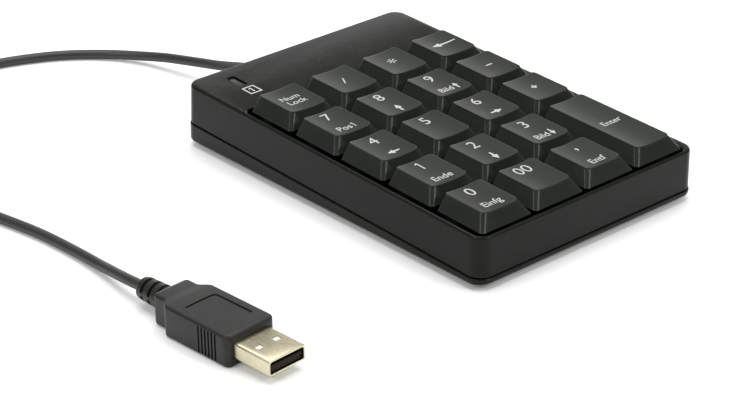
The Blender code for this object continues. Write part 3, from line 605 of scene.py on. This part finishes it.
CASE_CENTRE = (1.0, 12.825)
CASE_HALF = (41.05, 61.725)
CASE_CORNER = 4.5
UPPER_INSET = 0.45
RIM_FILLET = 0.8
PARTING_Z = -12.0
PARTING_GAP = 0.15
FRONT_BOTTOM_Z = -14.1
BOTTOM_FILLET = 1.2
TOP_WALL = 1.8
FLOOR_WALL = 0.85
WELL_CENTRE = (0.1, 0.65)
WELL_HALF = (38.6, 48.25)
WELL_CORNER = 2.5
WELL_FILLET = 0.35
LEDGE_Z = -4.3
ROOM_HALF = (39.75, 60.55)
BOARD_ROOM_X = (-37.8, 38.6)
BOARD_ROOM_FRONT = 50.6
LENS_CENTRE = (-27.8, 65.2)
LENS_HALF = (1.1, 3.1)
EXIT_X = 0.4
EXIT_RADIUS = 2.7
BACKWARDS = Matrix.Rotation(math.radians(-90), 4, "X")
CASE_BACK_Y = CASE_CENTRE[1] + CASE_HALF[1]
BUSH = DECK @ Matrix.Translation((EXIT_X, CASE_BACK_Y, PARTING_Z)) @ BACKWARDS


def case_outline(inset):
    corner = CASE_CORNER - min(inset, 3.0)
    return rounded_rectangle(grown(CASE_HALF, -inset), corner, CASE_CENTRE, 10)


def bottom_z(y):
    """Height of the case's underside, in the deck frame."""
    front = CASE_CENTRE[1] - CASE_HALF[1]
    return FRONT_BOTTOM_Z - (y - front) * math.tan(DECK_TILT)


def cut_exit(mesh):
    """Cut the bush's hole through the rear wall."""
    profile = [(0, -3.2), (EXIT_RADIUS, -3.2), (EXIT_RADIUS, 2.0), (0, 2.0)]
    return carve(mesh, turned(profile), BUSH)


def room_outline(inset, corner):
    return rounded_rectangle(grown(ROOM_HALF, -inset), corner, CASE_CENTRE, 10)


def well_outline(grow):
    return rounded_rectangle(grown(WELL_HALF, grow), WELL_CORNER + grow, WELL_CENTRE, 10)


def make_upper_case():
    """The top shell: walls with a soft rim, the flat bezel, and the well round the keys."""
    edge = PARTING_Z + PARTING_GAP
    rings = [
        level(case_outline(UPPER_INSET / 2 + 0.2), edge),
        level(case_outline(UPPER_INSET / 2), edge + 0.2),
    ]
    for cosine, sine in quarter_turn(8):
        inset = UPPER_INSET + RIM_FILLET * (1 - cosine)
        rings.append(level(case_outline(inset), RIM_FILLET * (sine - 1)))
    for cosine, sine in quarter_turn(4):
        rings.append(level(well_outline(WELL_FILLET * (1 - sine)), WELL_FILLET * (cosine - 1)))
    room = room_outline(0.0, CASE_CORNER - 1)
    rings += [level(well_outline(0), LEDGE_Z), level(room, LEDGE_Z), level(room, edge)]
    mesh = make_mesh("case_top_shell", loft(rings, closed=True), DECK)

    back = CASE_CENTRE[1] + ROOM_HALF[1] - 0.6
    left, right = BOARD_ROOM_X
    room = box((left, BOARD_ROOM_FRONT, LEDGE_Z - 1), (right, back, -TOP_WALL))
    mesh = carve(mesh, room, DECK)
    slot = rounded_rectangle(grown(LENS_HALF, 0.3), 0.7, LENS_CENTRE)
    mesh = carve(mesh, loft([level(slot, -TOP_WALL - 1), level(slot, 1.0)]), DECK)
    mesh = cut_exit(mesh)
    add_piece("case_top_shell", mesh, "case_plastic", replaces=["upper_case"])


def make_lower_case():
    """The wedge-shaped base: floor, wall, lip, and the holes for the feet and the screws."""
    edge = PARTING_Z - PARTING_GAP
    lip = room_outline(0.3, CASE_CORNER - 1.3)
    lip_inside = room_outline(1.0, CASE_CORNER - 2)
    rings = []
    for cosine, sine in quarter_turn(6):
        inset = BOTTOM_FILLET * (1 - sine)
        rise = BOTTOM_FILLET * (1 - cosine)
        rings.append(level(case_outline(inset), lambda x, y, rise=rise: bottom_z(y) + rise))
    rings += [
        level(case_outline(0), edge - 0.2),
        level(case_outline(0.2), edge),
        level(lip, edge),
        level(lip, edge + 1.3),
        level(lip_inside, edge + 1.3),
        level(lip_inside, lambda x, y: bottom_z(y) + FLOOR_WALL),
    ]
    mesh = make_mesh("case_base_shell", loft(rings), DECK)

    foot_tool = bmesh.new()
    for node in FEET:
        x, y, _ = node_centre(node)
        for low, high, radius in ((-1.0, 1.89, 5.3), (-1.0, 1.54, 5.6)):
            profile = [(0, low), (radius, low), (radius, high), (0, high)]
            add_turned(foot_tool, profile, 40, Matrix.Translation((x, y, 0)))
    mesh = carve(mesh, foot_tool, DESK)
    screw_tool = bmesh.new()
    for node in CASE_SCREWS:
        place = DECK.inverted() @ node_centre(node)
        deep = 3.1 if "rear" in node else 0.0
        seat = bottom_z(place.y) + 1.7 + deep
        profile = [(0, -25.0), (2.4, -25.0), (2.4, seat), (1.3, seat), (1.3, -9.0), (0, -9.0)]
        add_turned(screw_tool, profile, 28, Matrix.Translation((place.x, place.y, 0)))
    mesh = carve(mesh, screw_tool, DECK)
    mesh = cut_exit(mesh)
    add_piece("case_base_shell", mesh, "case_plastic", replaces=["lower_case"])


FEET = ("foot_front_left", "foot_front_right", "foot_rear_left", "foot_rear_right")
CASE_SCREWS = (
    "case_screw_front_left",
    "case_screw_front_right",
    "case_screw_centre",
    "case_screw_rear_left",
    "case_screw_rear_right",
)
BOARD_SCREWS = ("board_screw_left", "board_screw_right")


def make_feet():
    for node in FEET:
        x, y, _ = node_centre(node)
        profile = [(0, 0.12), (3.3, 0.12), (3.7, 0.0), (4.6, 0.0)]
        profile += [(4.88, 0.12), (5.0, 0.4), (5.0, 1.59), (0, 1.59)]
        place = Matrix.Translation((x, y, 0))
        add_shape("pad_" + node, turned(profile, 48), place, "foot_rubber", replaces=[node])


def make_screws():
    """Pan-head screws with a cross recess and a coarse thread."""
    for node in (*CASE_SCREWS, *BOARD_SCREWS):
        low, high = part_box(node)
        tall = (high.z - low.z) / MM / math.cos(DECK_TILT)
        place = DECK.inverted() @ node_centre(node)
        shank = tall - 1.2
        profile = [(0, shank + 0.05), (0.25, shank - 0.05), (0.62, shank - 0.8)]
        turns = int((shank - 1.2) / 0.55)
        for turn in range(turns):
            height = shank - 0.9 - turn * 0.55
            profile += [(0.66, height), (0.88, height - 0.2), (0.66, height - 0.4)]
        profile += [(0.66, 0.1), (0.72, 0.0), (1.85, 0.0), (2.0, -0.2), (2.0, -0.55)]
        profile += [(1.8, -0.85), (1.4, -1.02), (0.9, -1.1), (0, -1.1)]
        seat = DECK @ Matrix.Translation((place.x, place.y, place.z - tall / 2 + 1.1))
        mesh = make_mesh("cross_" + node, turned(profile, 28), seat)
        for half_x, half_y in ((1.05, 0.2), (0.2, 1.05)):
            mesh = carve(mesh, box((-half_x, -half_y, -1.6), (half_x, half_y, -0.4)), seat)
        add_piece("cross_" + node, mesh, "steel", replaces=[node])


make_upper_case()
make_lower_case()
make_feet()
make_screws()

# ---- keys

SKIRT_Z = 0.25
TOP_Z = 4.6
SHOULDER_DROP = 0.3
CEILING_Z = 3.2
SKIRT_HALF = (8.98, 8.73)
SHOULDER_HALF = (6.45, 7.4)
TOP_HALF = (6.2, 7.15)
TOP_SHIFT = 1.2
KEY_WALL = 1.2
DISH_DEPTH = 0.45
FLAT_INSET = 0.5
STEM_HALF = (3.0, 3.0)
STEM_Z = -5.65
ENTER_CLIP_X = 27.19
KEY_GRID = (
    ("num_lock", "divide", "multiply", "backspace"),
    ("7", "8", "9", "minus"),
    ("4", "5", "6", "plus"),
    ("1", "2", "3", None),
    ("0", "00", "decimal", None),
)


def dish(x, y):
    """Height of the key's top, which is a shallow trough along Y."""
    return TOP_Z - DISH_DEPTH * (1 - min(1.0, abs(x) / TOP_HALF[0]) ** 2)


def key_ring(half, corner, height, extra, shift=TOP_SHIFT):
    return level(rounded_rectangle((half[0], half[1] + extra), corner, (0, shift)), height)


STRIP = 0.5
STRIP_LINES = [STRIP * line for line in range(-18, 19)]


def cut_strips(shape, faces):
    """Cut faces along Y at the lines that the dish of a key top and the ink on it share."""
    for line in STRIP_LINES:
        verts = {vert for face in faces for vert in face.verts}
        edges = {edge for face in faces for edge in face.edges}
        geometry = [*verts, *edges, *faces]
        made = bmesh.ops.bisect_plane(
            shape, geom=geometry, plane_co=(line, 0, 0), plane_no=(1, 0, 0), dist=0.00001
        )
        faces = [item for item in made["geom"] if isinstance(item, bmesh.types.BMFace)]
    return faces


def key_shape(extra):
    """A keycap from its plunger, out under its top, down inside and up its outside."""
    rings = [
        level(rounded_rectangle(STEM_HALF, 0.8), STEM_Z),
        level(rounded_rectangle(STEM_HALF, 0.8), CEILING_Z - 0.3),
        level(rounded_rectangle(grown(STEM_HALF, 0.3), 1.0), CEILING_Z),
        key_ring(grown(SHOULDER_HALF, -KEY_WALL), 1.0, CEILING_Z, extra),
        key_ring(grown(SKIRT_HALF, -KEY_WALL), 0.8, SKIRT_Z, extra, 0),
        key_ring(grown(SKIRT_HALF, -0.15), 1.1, SKIRT_Z, extra, 0),
        key_ring(SKIRT_HALF, 1.2, SKIRT_Z + 0.15, extra, 0),
    ]
    plain = len(rings)
    fillet = (SHOULDER_HALF[0] - TOP_HALF[0], SHOULDER_HALF[1] - TOP_HALF[1])
    drops = []
    for cosine, sine in quarter_turn(6):
        half = [top + edge * cosine for top, edge in zip(TOP_HALF, fillet)]
        drops.append(SHOULDER_DROP * (1 - sine))
        outline = key_ring(half, 1.5 - 0.2 * sine, dish, extra)
        rings.append([(x, y, z - drops[-1]) for x, y, z in outline])
    rings.append(key_ring(grown(TOP_HALF, -FLAT_INSET), 1.3 - FLAT_INSET, dish, extra))
    drops.append(0.0)
    shape = loft(rings)
    shape.verts.index_update()
    drop_layer = shape.verts.layers.float.new("drop")
    count = len(rings[0])
    for index, vert in enumerate(shape.verts):
        ring = index // count
        vert[drop_layer] = drops[ring - plain] if ring >= plain else -1000.0
    top_faces = [f for f in shape.faces if all(v.index >= (plain - 1) * count for v in f.verts)]
    cut_strips(shape, top_faces)
    for vert in shape.verts:
        if vert[drop_layer] > -0.5:
            vert.co.z = dish(vert.co.x, vert.co.y) - vert[drop_layer]
    return shape


def key_place(row, column):
    return ((column - 1.5) * PITCH, (2 - row) * PITCH)


def check_key_places():
    """The CAD's key has to be where this script puts its keycap."""
    x, y = key_place(2, 1)
    wanted = DECK @ Vector((x, y, 0))
    found = node_centre("key_5")
    if abs(wanted.x - found.x) > 0.05 or abs(wanted.y - found.y) > 0.3:
        raise ValueError(f"key_5 is at {found}, and not at {wanted}")


def make_keys():
    check_key_places()
    places = {}
    for row, names in enumerate(KEY_GRID):
        for column, name in enumerate(names):
            if name is not None:
                places[name] = key_place(row, column)
    for name, (x, y) in places.items():
        place = DECK @ Matrix.Translation((x, y, 0))
        key = "key_" + name
        add_shape("cap_" + name, key_shape(0.0), place, "key_plastic", body=key, replaces=[key])
    x, y = key_place(3.5, 3)
    place = DECK @ Matrix.Translation((x, y, 0))
    mesh = make_mesh("cap_enter", key_shape(PITCH / 2), place)
    clips = bmesh.new()
    slots = bmesh.new()
    middle = ENTER_CLIP_X - x
    for side in (-1, 1):
        near, far = sorted((side * 9.3, side * 10.9))
        add_box(clips, (middle - 2.1, near, -1.1), (middle + 2.1, far, CEILING_Z + 0.4))
        add_box(slots, (middle - 1.3, near - 1, -0.4), (middle + 1.3, far + 1, 1.2))
    mesh = carve(mesh, clips, place, "UNION")
    mesh = carve(mesh, slots, place)
    add_piece("cap_enter", mesh, "key_plastic", "key_enter", ["key_enter"])
    places["enter"] = (x, y)
    return places


KEY_PLACES = make_keys()

# ---- printed legends

INK_RISE = 0.02
INK_SINK = 0.03


def bar(x1, y1, x2, y2):
    return [(x1, y1), (x2, y1), (x2, y2), (x1, y2)]


def polygon_shape(polygons):
    shape = bmesh.new()
    for polygon in polygons:
        shape.faces.new([shape.verts.new((x, y, 0)) for x, y in polygon])
    return shape


def text_shape(text, height, bold=0.0):
    """Flat letters whose capitals are this tall, centred on their own box."""
    curve = bpy.data.curves.new("letters", "FONT")
    curve.body = text
    curve.size = height / 0.7
    curve.resolution_u = 4
    curve.offset = bold
    writer = put_in_scene("letters", curve)
    graph = bpy.context.evaluated_depsgraph_get()
    mesh = bpy.data.meshes.new_from_object(writer.evaluated_get(graph))
    bpy.data.objects.remove(writer)
    bpy.data.curves.remove(curve)
    shape = bmesh.new()
    shape.from_mesh(mesh)
    bpy.data.meshes.remove(mesh)
    bmesh.ops.remove_doubles(shape, verts=shape.verts, dist=0.0005)
    xs = [vert.co.x for vert in shape.verts]
    ys = [vert.co.y for vert in shape.verts]
    middle = Vector(((min(xs) + max(xs)) / 2, (min(ys) + max(ys)) / 2, 0))
    bmesh.ops.translate(shape, vec=-middle, verts=shape.verts)
    return shape


def figure_one(height, stroke):
    """A figure 1 with its flag, centred on its stem."""
    half = stroke / 2
    top = height / 2
    stem = bar(-half, -top, half, top)
    flag = [
        (-half, top),
        (-half - 0.17 * height, top - 0.15 * height),
        (-half - 0.17 * height, top - 0.15 * height - stroke),
        (-half, top - 1.1 * stroke),
    ]
    return polygon_shape([stem, flag])


def with_one(word, height, bold):
    """A word with a figure 1 after it, centred as one."""
    shape = text_shape(word, height, bold)
    right = max(vert.co.x for vert in shape.verts)
    one = figure_one(height, 0.115 * height + bold)
    bmesh.ops.translate(one, vec=(right + 0.42 * height, 0, 0), verts=one.verts)
    bmesh.ops.translate(shape, vec=(-0.28 * height, 0, 0), verts=shape.verts)
    bmesh.ops.translate(one, vec=(-0.28 * height, 0, 0), verts=one.verts)
    return join_shapes([shape, one])


def turned_arrow(angle, length=4.1, shaft=0.8, head_length=2.0, head_width=2.1):
    """An arrow with a slightly tapered shaft, centred on its middle and turned from +X."""
    tip = length / 2
    neck = tip - head_length
    tail = [(-tip, -shaft * 0.32), (neck, -shaft / 2), (neck, shaft / 2), (-tip, shaft * 0.32)]
    head = [(neck - 0.15, -head_width / 2), (tip, 0), (neck - 0.15, head_width / 2)]
    shape = polygon_shape([tail, head])
    bmesh.ops.rotate(shape, matrix=Matrix.Rotation(math.radians(angle), 3, "Z"), verts=shape.verts)
    return shape


def legend_shapes():
    """Each key's printed shapes, with the place of each shape's middle."""
    digit = 3.9
    word = 2.4
    bold = 0.025
    upper = (-0.3, 5.2)
    lower = (0.0, -2.9)

    def figure(text):
        return text_shape(text, digit), upper

    def words(text, place=lower, height=word):
        return text_shape(text, height, bold), place

    def page(angle):
        return [words("Bild", (-1.2, -2.9)), (turned_arrow(angle, 3.4, 0.6, 1.5, 1.7), (2.7, -2.7))]

    slash = [(-0.95, -1.5), (-0.5, -1.5), (0.95, 1.5), (0.5, 1.5)]
    plus = [bar(-1.0, -0.28, 1.0, 0.28), bar(-0.28, 0.28, 0.28, 1.0), bar(-0.28, -1.0, 0.28, -0.28)]
    return {
        "num_lock": [words("Num", (-0.4, 2.2), 2.25), words("Lock", (0.0, -0.9), 2.25)],
        "divide": [(polygon_shape([slash]), (-0.4, 0.9))],
        "multiply": [(text_shape("*", 4.6), (-0.3, 2.0))],
        "backspace": [(turned_arrow(180, 8.9, 0.75, 3.0, 2.4), (0.25, 1.25))],
        "7": [figure("7"), (with_one("Pos", word, bold), (-0.2, -2.85))],
        "8": [figure("8"), (turned_arrow(90), lower)],
        "9": [figure("9"), *page(90)],
        "minus": [(polygon_shape([bar(-1.2, -0.25, 1.2, 0.25)]), (0.4, 1.3))],
        "4": [figure("4"), (turned_arrow(180), lower)],
        "5": [figure("5")],
        "6": [figure("6"), (turned_arrow(0), lower)],
        "plus": [(polygon_shape(plus), (0.0, 1.5))],
        "1": [(figure_one(digit, 0.11 * digit), upper), words("Ende")],
        "2": [figure("2"), (turned_arrow(270), lower)],
        "3": [figure("3"), *page(270)],
        "0": [figure("0"), words("Einfg")],
        "00": [figure("00")],
        "decimal": [(text_shape(",", 4.6), (0.2, 4.2)), words("Entf", (0.2, -3.2))],
        "enter": [words("Enter", (0.4, 0.6), 2.25)],
    }


def lay_ink(shape, centre, surface):
    """Cut flat shapes into strips, thicken them and bend them onto a surface."""
    bmesh.ops.translate(shape, vec=(*centre, 0), verts=shape.verts)
    cut_strips(shape, list(shape.faces))
    raised = bmesh.ops.extrude_face_region(shape, geom=list(shape.faces))["geom"]
    lifted = [item for item in raised if isinstance(item, bmesh.types.BMVert)]
    for vert in shape.verts:
        vert.co.z = surface(vert.co.x, vert.co.y) - INK_SINK
    for vert in lifted:
        vert.co.z += INK_SINK + INK_RISE
    return shape


def join_shapes(shapes):
    joined = bmesh.new()
    for shape in shapes:
        mesh = bpy.data.meshes.new("stroke")
        shape.to_mesh(mesh)
        shape.free()
        joined.from_mesh(mesh)
        bpy.data.meshes.remove(mesh)
    return joined


def make_legends():
    for name, prints in legend_shapes().items():
        shape = join_shapes([lay_ink(print_, centre, dish) for print_, centre in prints])
        place = DECK @ Matrix.Translation((*KEY_PLACES[name], 0))
        add_shape("legend_" + name, shape, place, "legend_ink", body="key_" + name)


def make_indicator():
    """The window of the light pipe, sunk in its slot, and the outlined figure printed beside it."""
    flange = rounded_rectangle(grown(LENS_HALF, 0.9), 1.0, LENS_CENTRE)
    rings = [level(flange, -3.0), level(flange, -2.1)]
    for inset, height in ((0.0, -2.1), (0.0, -0.5), (0.06, -0.42), (0.16, -0.4)):
        rings.append(level(rounded_rectangle(grown(LENS_HALF, -inset), 0.45, LENS_CENTRE), height))
    add_shape("indicator_window", loft(rings), DECK, "lens", replaces=["indicator_lens"])
    half_x, half_y, line = 2.1, 2.3, 0.5
    outline = [
        bar(-half_x, half_y - line, half_x, half_y),
        bar(-half_x, -half_y, half_x, -half_y + line),
        bar(-half_x, -half_y + line, -half_x + line, half_y - line),
        bar(half_x - line, -half_y + line, half_x, half_y - line),
    ]
    centre = (-28.0, 58.0)
    shapes = [polygon_shape(outline), figure_one(2.5, 0.45)]
    flat = [lay_ink(shape, centre, lambda x, y: 0.0) for shape in shapes]
    add_shape("indicator_mark", join_shapes(flat), DECK, "legend_ink")


make_legends()
make_indicator()

# ---- domes

SHEET_TOP_Z = -10.3
DOME_REACH = 6.0
DOME_HIGH_Z = -5.0


def make_domes():
    """The flat dome sheet, and a dome under each key."""
    sheet = frame["nodes"]["rubber_dome_sheet"].data
    above = box((-60.0, -80.0, SHEET_TOP_Z), (60.0, 90.0, DOME_HIGH_Z + 5.0))
    mesh = carve(sheet.copy(), above, DECK)
    mesh.name = "dome_sheet"
    add_piece("dome_sheet", mesh, "silicone", replaces=["rubber_dome_sheet"])
    for name, (x, y) in KEY_PLACES.items():
        low = (x - DOME_REACH, y - DOME_REACH, SHEET_TOP_Z)
        near = box(low, (x + DOME_REACH, y + DOME_REACH, DOME_HIGH_Z))
        mesh = carve(sheet.copy(), near, DECK, "INTERSECT")
        mesh.name = "dome_" + name
        dome = add_piece("dome_" + name, mesh, "silicone")
        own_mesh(dome)


make_domes()

# ---- plug

OVERMOLD_HALF = (8.0, 4.5)
COLLAR_HALF = (5.8, 4.4)
COLLAR_REAR = -30.3
SHELL_HALF = (6.0, 2.25)
SHELL_WALL = 0.4
SHELL_REACH = 12.5
SHELL_ROOT = -4.0
WINDOW_X = 2.9
WINDOW_S = (4.9, 6.5)


def plug_ring(half, corner, along, rise=0.0):
    return level(rounded_rectangle(half, corner, (0, rise), 7), along)


def eased_sizes():
    """Half sizes of the overmold along the plug, with an S-shaped step from collar to body."""
    sections = []
    for cosine, sine in quarter_turn(6):
        rise = 1 - sine
        sections.append((COLLAR_REAR + 1.3 * (1 - cosine), 1.3 * rise, 0.5 * rise, 0.0))
    for step in range(11):
        share = step / 10
        sections.append((-26.3 + 3.7 * share, 0.0, 0.0, smoothstep(share)))
    sections += [(-12.0, 0.0, 0.0, 1.0), (-2.0, 0.0, 0.0, 1.0)]
    for cosine, sine in quarter_turn(9, 1):
        along = 2.0 * (sine - 1)
        lift = 1.0 - math.sqrt(max(0.0, 1.0 - max(0.0, along + 1.0) ** 2))
        sections.append((along, 1.8 * (1 - cosine), lift, 1.0))
    for along, inset_x, inset_y, share in sections:
        half_x = COLLAR_HALF[0] + (OVERMOLD_HALF[0] - COLLAR_HALF[0]) * share - inset_x
        half_y = COLLAR_HALF[1] + (OVERMOLD_HALF[1] - COLLAR_HALF[1]) * share - inset_y
        yield along, (half_x, half_y), 0.95 - 0.2 * inset_y


def channel(path, width, low, high):
    """A channel tool of even width along flat (x, z) points, between two heights of y."""
    left = []
    right = []
    for index, (x, z) in enumerate(path):
        before = Vector(path[max(0, index - 1)])
        after = Vector(path[min(len(path) - 1, index + 1)])
        way = (after - before).normalized()
        left.append((x - way.y * width / 2, z + way.x * width / 2))
        right.append((x + way.y * width / 2, z - way.x * width / 2))
    outline = [*left, *reversed(right)]
    return loft([[(x, y, z) for x, z in outline] for y in (low, high)])


def make_overmold():
    rings = [plug_ring(half, corner, along) for along, half, corner in eased_sizes()]
    mesh = make_mesh("plug_body", loft(rings), PLUG)

    half = grown(SHELL_HALF, 0.12)
    pocket = loft([plug_ring(half, 0.7, SHELL_ROOT - 0.3), plug_ring(half, 0.7, 2.0)])
    mesh = carve(mesh, pocket, PLUG)

    path = [(-5.0, -18.5), (-2.0, -18.6), (1.0, -18.65), (3.6, -18.65)]
    for cosine, sine in quarter_turn(6, 1):
        path.append((3.6 + 1.2 * sine, -17.45 - 1.2 * cosine))
    path += [(4.82, -13.0), (4.85, -9.0), (4.88, -5.2)]
    thumb = channel(path, 0.75, OVERMOLD_HALF[1] - 0.35, OVERMOLD_HALF[1] + 1)
    mesh = carve(mesh, thumb, PLUG)

    grips = bmesh.new()
    for side in (-1, 1):
        near, far = sorted((side * (OVERMOLD_HALF[0] - 0.45), side * (OVERMOLD_HALF[0] + 1)))
        for number in range(6):
            along = -10.7 + 1.22 * number
            add_box(grips, (near, -3.7, along - 0.3), (far, 3.75, along + 0.3))
    mesh = carve(mesh, grips, PLUG)
    add_piece("plug_body", mesh, "plug_pvc", replaces=["plug_overmold"], sharp=28)


def make_plug_relief():
    """The tapered sleeve behind the plug: three cross slots, each bridged at both sides."""
    root = COLLAR_REAR - 0.3
    slots = ((1.2, 2.1), (4.0, 5.0), (6.9, 7.9))
    wall = 0.07
    stations = [(0.0, 0, 3.15), (0.15, 0, 3.35), (0.3, 0, 3.4)]
    for number, (start, stop) in enumerate(slots):
        outer = 3.42 - 0.1 * number
        stations += [(start - wall, 0, outer), (start + wall, 1, outer)]
        stations += [(stop - wall, 1, outer), (stop + wall, 0, outer - 0.04)]
    stations += [(9.2, 0, 3.1), (9.65, 0, 2.95), (9.95, 0, 2.65), (10.1, 0, 2.2)]
    rings = []
    count = 60
    for depth, in_slot, radius in stations:
        ring = []
        for index in range(count):
            turn = math.radians(360 * index / count)
            reach = 2.35 if in_slot and abs(math.sin(turn)) > 0.2 else radius
            ring.append((reach * math.cos(turn), reach * math.sin(turn), root - depth))
        rings.append(ring)
    sleeve = loft(rings)
    add_shape("plug_sleeve", sleeve, PLUG, "plug_pvc", replaces=["plug_strain_relief"], sharp=28)


def make_plug_shell():
    """The folded steel shell, with its two latch windows above and below."""
    half_x, half_y = SHELL_HALF
    inside = grown(SHELL_HALF, -SHELL_WALL)
    rings = [
        plug_ring(SHELL_HALF, 0.75, SHELL_ROOT),
        plug_ring(SHELL_HALF, 0.75, SHELL_REACH - 0.35),
        plug_ring((half_x - 0.04, half_y - 0.05), 0.75, SHELL_REACH - 0.1),
        plug_ring((half_x - 0.12, half_y - 0.14), 0.75, SHELL_REACH),
        plug_ring((half_x - 0.34, half_y - 0.5), 0.8, SHELL_REACH, rise=-0.1),
        plug_ring((half_x - 0.42, half_y - 0.56), 0.8, SHELL_REACH - 0.12, rise=-0.1),
        plug_ring(inside, 0.45, SHELL_REACH - 0.75),
        plug_ring(inside, 0.45, SHELL_ROOT),
    ]
    mesh = make_mesh("plug_steel_shell", loft(rings, closed=True), PLUG)
    windows = bmesh.new()
    for x in (-WINDOW_X, WINDOW_X):
        outline = rounded_rectangle((1.0, 0.8), 0.2, (x, sum(WINDOW_S) / 2), 4)
        add_loft(windows, [[(px, y, ps) for px, ps in outline] for y in (-4.0, 4.0)])
    mesh = carve(mesh, windows, PLUG)
    mesh = carve(mesh, box((-0.05, -2.4, SHELL_ROOT - 1), (0.05, -2.1, SHELL_REACH + 1)), PLUG)
    add_piece("plug_steel_shell", mesh, "plug_steel", replaces=["plug_shell"], sharp=30)


def make_window_pads():
    """The pale latch pads that fill the shell's windows from inside."""
    shape = bmesh.new()
    middle = sum(WINDOW_S) / 2
    top = SHELL_HALF[1]
    for x in (-WINDOW_X, WINDOW_X):
        pad = rounded_rectangle((0.88, 0.68), 0.15, (x, middle), 4)
        base = rounded_rectangle((1.3, 1.1), 0.2, (x, middle), 4)
        levels = ((base, top - 0.62), (base, top - 0.43), (pad, top - 0.42), (pad, top - 0.12))
        add_loft(shape, [[(px, height, ps) for px, ps in outline] for outline, height in levels])
    add_shape("plug_window_pads", shape, PLUG, "connector")


make_overmold()
make_plug_relief()
make_plug_shell()
make_window_pads()

# ---- exit bush and coil tie


def make_exit_bush():
    """The tapered bush on the lead where it leaves the case, with two shallow rings."""
    profile = [(0, 8.0), (1.55, 8.0), (1.8, 7.92), (1.95, 7.6), (2.12, 5.9), (1.95, 5.75)]
    profile += [(1.98, 5.15), (2.22, 5.0), (2.4, 3.5), (2.2, 3.35), (2.24, 2.75), (2.5, 2.6)]
    profile += [(2.75, 0.9), (2.85, 0.35), (2.75, 0.3), (2.4, 0.3), (2.4, -2.7), (3.4, -2.7)]
    profile += [(3.4, -4.0), (0, -4.0)]
    add_shape("exit_bush", turned(profile, 40), BUSH, "cord_pvc", replaces=["cord_strain_relief"])


def make_coil_tie():
    """A hook-and-loop strap round the turns, with its free end lapped over the top."""
    middle = (LANES[0] + LANES[-1]) / 2
    low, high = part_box("coil_tie")
    centre = coil_point(COIL_TIE_ANGLE, middle, (low.z + high.z) / 2 / MM)
    place = Matrix.Translation(centre) @ Euler(
        (math.radians(90), 0, math.radians(COIL_TIE_ANGLE))
    ).to_matrix().to_4x4()
    inner = (4.95, 6.15)
    section = ((0.0, 2.3), (0.12, 2.5), (0.6, 2.5), (0.75, 2.3))
    section = [(grow, -end) for grow, end in section] + list(reversed(section))
    rings = []
    for grow, end in section:
        outline = rounded_rectangle(grown(inner, grow), 2.2 + grow, (0, 0), 8)
        rings.append(level(outline, end))
    add_shape("coil_strap", loft(rings, closed=True), place, "tie", replaces=["coil_tie"])

    rings = []
    for step in range(9):
        share = step / 8
        x = 4.0 - 7.4 * share
        y = inner[1] + 0.82 + 0.1 * math.sin(math.pi * share) + 0.25 * share**3
        rings.append([(x, y, -2.3), (x, y, 2.3), (x, y + 0.5, 2.3), (x, y + 0.5, -2.3)])
    add_shape("coil_strap_end", loft(rings), place, "tie")


make_exit_bush()
make_coil_tie()

# ---- floor and light


def make_floor():
    mesh = bpy.data.meshes.new("floor")
    shape = bmesh.new()
    bmesh.ops.create_grid(shape, x_segments=1, y_segments=1, size=4.0)
    shape.to_mesh(mesh)
    shape.free()
    floor = put_in_scene("floor", mesh)
    white = Graph("floor_white")
    fill(white.shader, {"Base Color": (0.9, 0.9, 0.9, 1), "Roughness": 0.7})
    fill(white.shader, {"Emission Color": (1, 1, 1, 1), "Emission Strength": 0.13})
    mesh.materials.append(white.material)


def make_light(name, location, target, size, power):
    data = bpy.data.lights.new(name, "AREA")
    data.shape = "RECTANGLE"
    data.size, data.size_y = size
    data.energy = power
    light = put_in_scene(name, data)
    light.location = location
    aim = Vector(target) - Vector(location)
    light.rotation_mode = "QUATERNION"
    light.rotation_quaternion = aim.to_track_quat("-Z", "Y")


def make_light_rig():
    """A pale sweep ahead of the camera, a soft top light, and a strip at each side of it."""
    world = bpy.data.worlds.new("studio")
    world.use_nodes = True
    background = world.node_tree.nodes["Background"]
    background.inputs["Color"].default_value = (1, 1, 1, 1)
    background.inputs["Strength"].default_value = 0.26
    bpy.context.scene.world = world
    make_light("top", (0.20, 0.23, 1.1), (0.20, 0.23, 0), (1.25, 1.25), 16.0)
    make_light("sweep", (0.52, 0.56, 0.175), (0, 0, 0.02), (1.2, 0.24), 1.75)
    make_light("strip_left", (-0.774, 0.084, 0.628), (0, 0, 0.01), (0.42, 0.32), 2.2)
    make_light("strip_right", (0.262, -0.733, 0.628), (0, 0, 0.01), (0.42, 0.32), 2.8)
    bpy.context.scene.view_settings.view_transform = "Standard"


make_floor()
make_light_rig()
